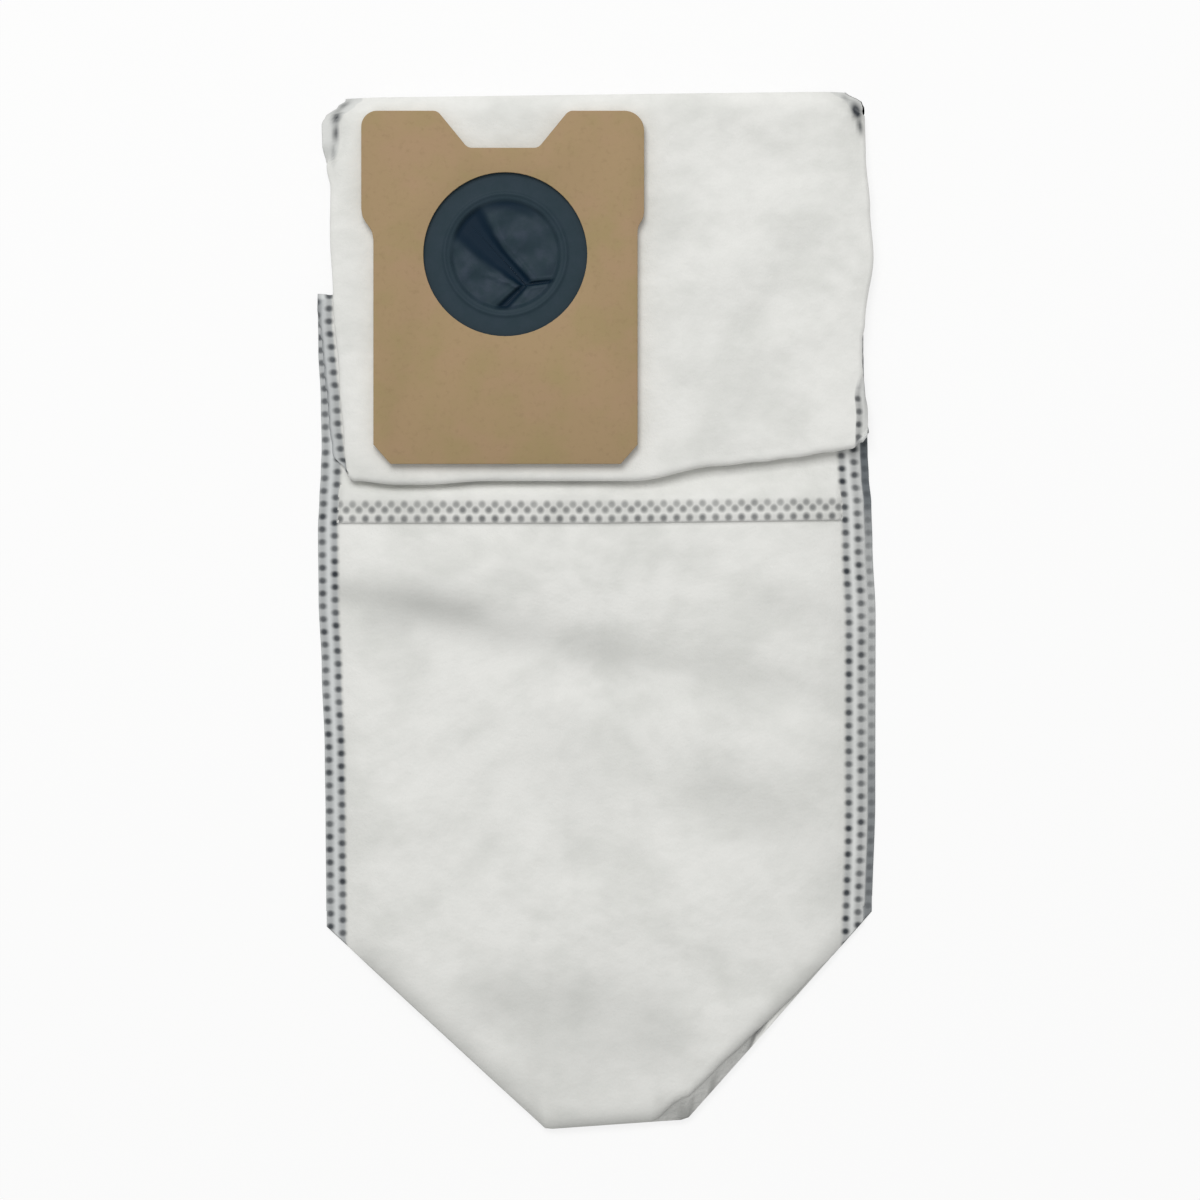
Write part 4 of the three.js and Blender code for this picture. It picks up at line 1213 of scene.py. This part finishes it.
def seal_height(x, y):
    """Height of the membrane inside its rim, the painted shade down in the slit and under the rim at the
    top, and its bloom with a painted highlight along the slit's raised lips.
    """
    radius = np.hypot(x, y)
    from_meet = np.hypot(x - SLIT_MEET[0], y - SLIT_MEET[1])
    inside = ease(SEAL_INNER - radius, 0, SEAL_SLOPE)
    sag, sag_at_meet, sag_reach = SEAL_SAG
    fall = sag * inside + sag_at_meet * inside * np.clip(1 - from_meet / sag_reach, 0, 1)
    along, off, _ = arm_frame(x, y, SLIT_ANGLES[1])
    half = np.where(off > 0, along_curve(WIDE_ARM_UPPER, along), along_curve(WIDE_ARM_LOWER, along))
    share = np.abs(off) / half
    here = ease(along, -2.5, 1.0)
    # Painted shade down in the wide arm of the slit
    painted_shade = (1 - ease(share, 0.62, 1.12)) * here
    valley = WIDE_ARM_DEPTH * (1 - ease(share, 0.3, 1.0)) * here
    lip = 0.45 * np.exp(-((share - 1.35) / 0.28) ** 2) * here * (1 - ease(along, 18, 27))
    for degrees, (start, stop, depth) in NARROW_ARMS.items():
        along, off, reach = arm_frame(x, y, degrees)
        here = ease(along, -1, 0.5)
        share = np.abs(off) / mix(start, stop, np.clip(along / reach, 0, 1))
        painted_shade = np.maximum(painted_shade, 0.9 * (1 - ease(share, 0.5, 1.2)) * here)
        valley = np.maximum(valley, depth * (1 - ease(share, 0.2, 1.25)) * here)
        lip = lip + 0.16 * np.exp(-((share - 1.9) / 0.5) ** 2) * here
    # Painted shadow under the rim at the top of the opening
    overhead = np.exp(-((np.degrees(np.arctan2(y, x)) - SHADOW_ANGLE[0]) / SHADOW_ANGLE[1]) ** 2)
    painted_shade = np.maximum(painted_shade, 0.95 * ease(radius, *SHADOW_REACH) * overhead)
    lumps = 0.3 * ripple(x, y, 13, 41) + 0.08 * ripple(x, y, 6, 42)
    # Random bloom, made paler along the raised lips as a painted highlight
    bloom_and_highlight = np.clip(0.5 + 0.35 * ripple(x, y, 9, 43) + 1.1 * lip, 0, 1)
    height = SEAL_TOP - fall - valley * inside + (lip + lumps * (1 - painted_shade)) * inside
    return height, painted_shade * inside, bloom_and_highlight * inside * (1 - painted_shade)


def seal_mesh(centre, outer):
    """The seal's upper face: three flaps cut apart along the slit, inside a rim with a raised ridge."""
    points, faces, painted_shade, bloom_and_highlight = [], [], [], []
    share = np.linspace(0, 1, SEAL_RINGS)[:, None]
    radius = np.array([*RIM_RADII, outer - 0.25, outer])[:, None]
    ridge = RIDGE_HEIGHT * np.clip(np.cos((radius - RIDGE_RADIUS) / RIDGE_HALF * np.pi / 2), 0, 1) ** 2
    ridge = ridge * (np.abs(radius - RIDGE_RADIUS) < RIDGE_HALF)
    rim = SEAL_TOP + ridge - SEAL_EDGE * ease(radius, outer - 0.4, outer)
    ends = (*SLIT_ANGLES[1:], SLIT_ANGLES[0] + 360)
    for begin, end, count in zip(SLIT_ANGLES, ends, SLIT_STEPS):
        even = np.linspace(0, 1, count + 1)
        theta = np.radians(mix(begin, end, mix(even, ease(even, 0, 1), 0.6)))[None, :]
        middle = np.radians((begin + end) / 2)
        start = SLIT_MEET + SLIT_GAP * np.array((np.cos(middle), np.sin(middle)))
        x = mix(start[0], SEAL_INNER * np.cos(theta), share)
        y = mix(start[1], SEAL_INNER * np.sin(theta), share)
        z, deep, painted_light_and_bloom = seal_height(x, y)
        x = np.concatenate([x, radius * np.cos(theta)])
        y = np.concatenate([y, radius * np.sin(theta)])
        z = np.concatenate([z, rim + 0 * theta])
        index = sum(len(p) for p in points) + np.arange(x.size).reshape(x.shape)
        points.append(np.stack([x + centre[0], y + centre[1], z], -1).reshape(-1, 3))
        blank = np.zeros((len(radius), count + 1))
        painted_shade.append(np.concatenate([deep, blank]).ravel())
        bloom_and_highlight.append(np.concatenate([painted_light_and_bloom, blank + RIM_BLOOM]).ravel())
        quads = np.stack([index[:-1, :-1], index[1:, :-1], index[1:, 1:], index[:-1, 1:]], -1)
        faces.extend(quads.reshape(-1, 4).tolist())
    return np.concatenate(points), faces, {"painted_shade": np.concatenate(painted_shade), "bloom_and_highlight": np.concatenate(bloom_and_highlight)}


# Operators

class DUSTBAG_OT_fleece_bag(bpy.types.Operator):
    """Makes the folded fleece bag with its plies, weld dots and creases"""

    bl_idname = "dust_bag.fleece_bag"
    bl_label = "Fleece bag"

    def execute(self, context):
        sizes = levels(millimetres(context.scene.dust_bag_sizes))
        web = Web(sizes)
        points = web.build()
        points[:, :2] += SHIFT
        values = {name: np.concatenate(parts) for name, parts in web.values.items()}
        piece = new_mesh("folded_fleece_bag", points, web.faces, values)

        def close(work):
            line_hole(work, INLET * MM, sizes.fleece_hole / 2 * MM, (COLLAR_SEAT - sizes.ply / 2) * MM)
            bmesh.ops.recalc_face_normals(work, faces=work.faces)

        merge(piece, 1e-7, close)
        piece.data.shade_smooth()
        piece.data.materials.append(fleece_material(context.scene.dust_bag_colours, sizes))
        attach(piece, "root")
        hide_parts("fleece_bag")
        return {"FINISHED"}


class DUSTBAG_OT_collar_boards(bpy.types.Operator):
    """Makes the two boards of the collar with softly die-cut edges"""

    bl_idname = "dust_bag.collar_boards"
    bl_label = "Collar boards"

    def execute(self, context):
        material = board_material(context.scene.dust_bag_colours)
        for name in ("collar_front_card", "collar_rear_card"):
            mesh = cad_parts[name].data.copy()
            board = bpy.data.objects.new(name.replace("collar", "die_cut"), mesh)
            context.scene.collection.objects.link(board)
            merge(board, 1e-6, lambda work: bmesh.ops.dissolve_limit(
                work, angle_limit=math.radians(0.5), verts=work.verts, edges=work.edges))
            shape(board, "BEVEL", 35, width=0.22 * MM, segments=2, limit_method="ANGLE",
                  angle_limit=math.radians(40))
            board.data.materials.clear()
            board.data.materials.append(material)
            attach(board, "root")
            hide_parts(name)
        return {"FINISHED"}


class DUSTBAG_OT_seal(bpy.types.Operator):
    """Makes the moulded seal: a flat rim with a ridge, and three thin flaps that sag into the inlet"""

    bl_idname = "dust_bag.seal"
    bl_label = "Rubber seal"

    def execute(self, context):
        sizes = millimetres(context.scene.dust_bag_sizes)
        points, faces, values = seal_mesh(INLET, sizes.seal_diameter / 2)
        seal = new_mesh("slit_rubber_seal", points, faces, values)
        merge(seal, 1e-6)
        shape(seal, "SOLIDIFY", 50, thickness=SEAL_WALL * MM, offset=-1)
        seal.data.materials.append(rubber_material(context.scene.dust_bag_colours))
        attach(seal, "root")
        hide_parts("seal_membrane")
        return {"FINISHED"}


class DUSTBAG_OT_stage(bpy.types.Operator):
    """Adds the pale table, the soft light and the camera above the bag"""

    bl_idname = "dust_bag.stage"
    bl_label = "Stage"

    def execute(self, context):
        bpy.ops.object.select_all(action="DESELECT")
        bpy.ops.mesh.primitive_plane_add(size=6, location=(0, 0, -0.2 * MM))
        floor = context.active_object
        floor.name = "table"
        floor.data.materials.append(floor_material(context.scene.dust_bag_colours))
        self.camera(context.scene)
        self.light(context.scene)
        return {"FINISHED"}

    def camera(self, scene):
        """Straight down with a long lens: 1200 pixels span 425.5 mm at the height of the fleece."""
        lens, sensor, span = 200, 36, 0.4255
        centre = Vector((0.0007, 0.0041, 0.006))
        data = bpy.data.cameras.new("camera")
        data.lens, data.sensor_width = lens, sensor
        data.clip_start, data.clip_end = 0.01, 20
        camera = bpy.data.objects.new("camera", data)
        camera.location = centre + Vector((0, 0, span * lens / sensor))
        scene.collection.objects.link(camera)
        scene.camera = camera

    def light(self, scene):
        """A white room that shows white, and one large soft lamp above the collar end."""
        scene.view_settings.view_transform = "Standard"
        world = bpy.data.worlds.new("soft_room")
        world.use_nodes = True
        tree = world.node_tree
        background = next(n for n in tree.nodes if n.type == "BACKGROUND")
        background.inputs["Color"].default_value = (1, 1, 1, 1)
        strength = node(tree, "MapRange", (shows_white(tree), 0, 1, ROOM_LIGHT, 1))
        tree.links.new(strength, background.inputs["Strength"])
        scene.world = world
        data = bpy.data.lights.new("window_light", "AREA")
        data.size, data.energy = 1.1, 29
        lamp = bpy.data.objects.new("window_light", data)
        lamp.location = (-0.34, 1.04, 2.02)
        lamp.rotation_mode = "QUATERNION"
        lamp.rotation_quaternion = (-lamp.location).to_track_quat("-Z", "Y")
        scene.collection.objects.link(lamp)


class DUSTBAG_PT_panel(bpy.types.Panel):
    """Lists the sizes, the colours and the steps"""

    bl_label = "Dust bag"
    bl_idname = "DUSTBAG_PT_panel"
    bl_space_type = "VIEW_3D"
    bl_region_type = "UI"
    bl_category = "Dust bag"

    def draw(self, context):
        for group in (context.scene.dust_bag_sizes, context.scene.dust_bag_colours):
            box = self.layout.box()
            for name in group.__annotations__:
                box.prop(group, name)
        for step in STEPS:
            self.layout.operator(step.bl_idname)


STEPS = (DUSTBAG_OT_stage, DUSTBAG_OT_fleece_bag, DUSTBAG_OT_collar_boards, DUSTBAG_OT_seal)
CLASSES = (DustBagSizes, DustBagColours, *STEPS, DUSTBAG_PT_panel)


def register():
    for kind in CLASSES:
        bpy.utils.register_class(kind)
    bpy.types.Scene.dust_bag_sizes = PointerProperty(type=DustBagSizes)
    bpy.types.Scene.dust_bag_colours = PointerProperty(type=DustBagColours)


def unregister():
    del bpy.types.Scene.dust_bag_sizes
    del bpy.types.Scene.dust_bag_colours
    for kind in reversed(CLASSES):
        bpy.utils.unregister_class(kind)


def main():
    register()
    bpy.ops.dust_bag.stage()
    bpy.ops.dust_bag.fleece_bag()
    bpy.ops.dust_bag.collar_boards()
    bpy.ops.dust_bag.seal()
    bpy.context.view_layer.update()


if __name__ == "__main__":
    main()
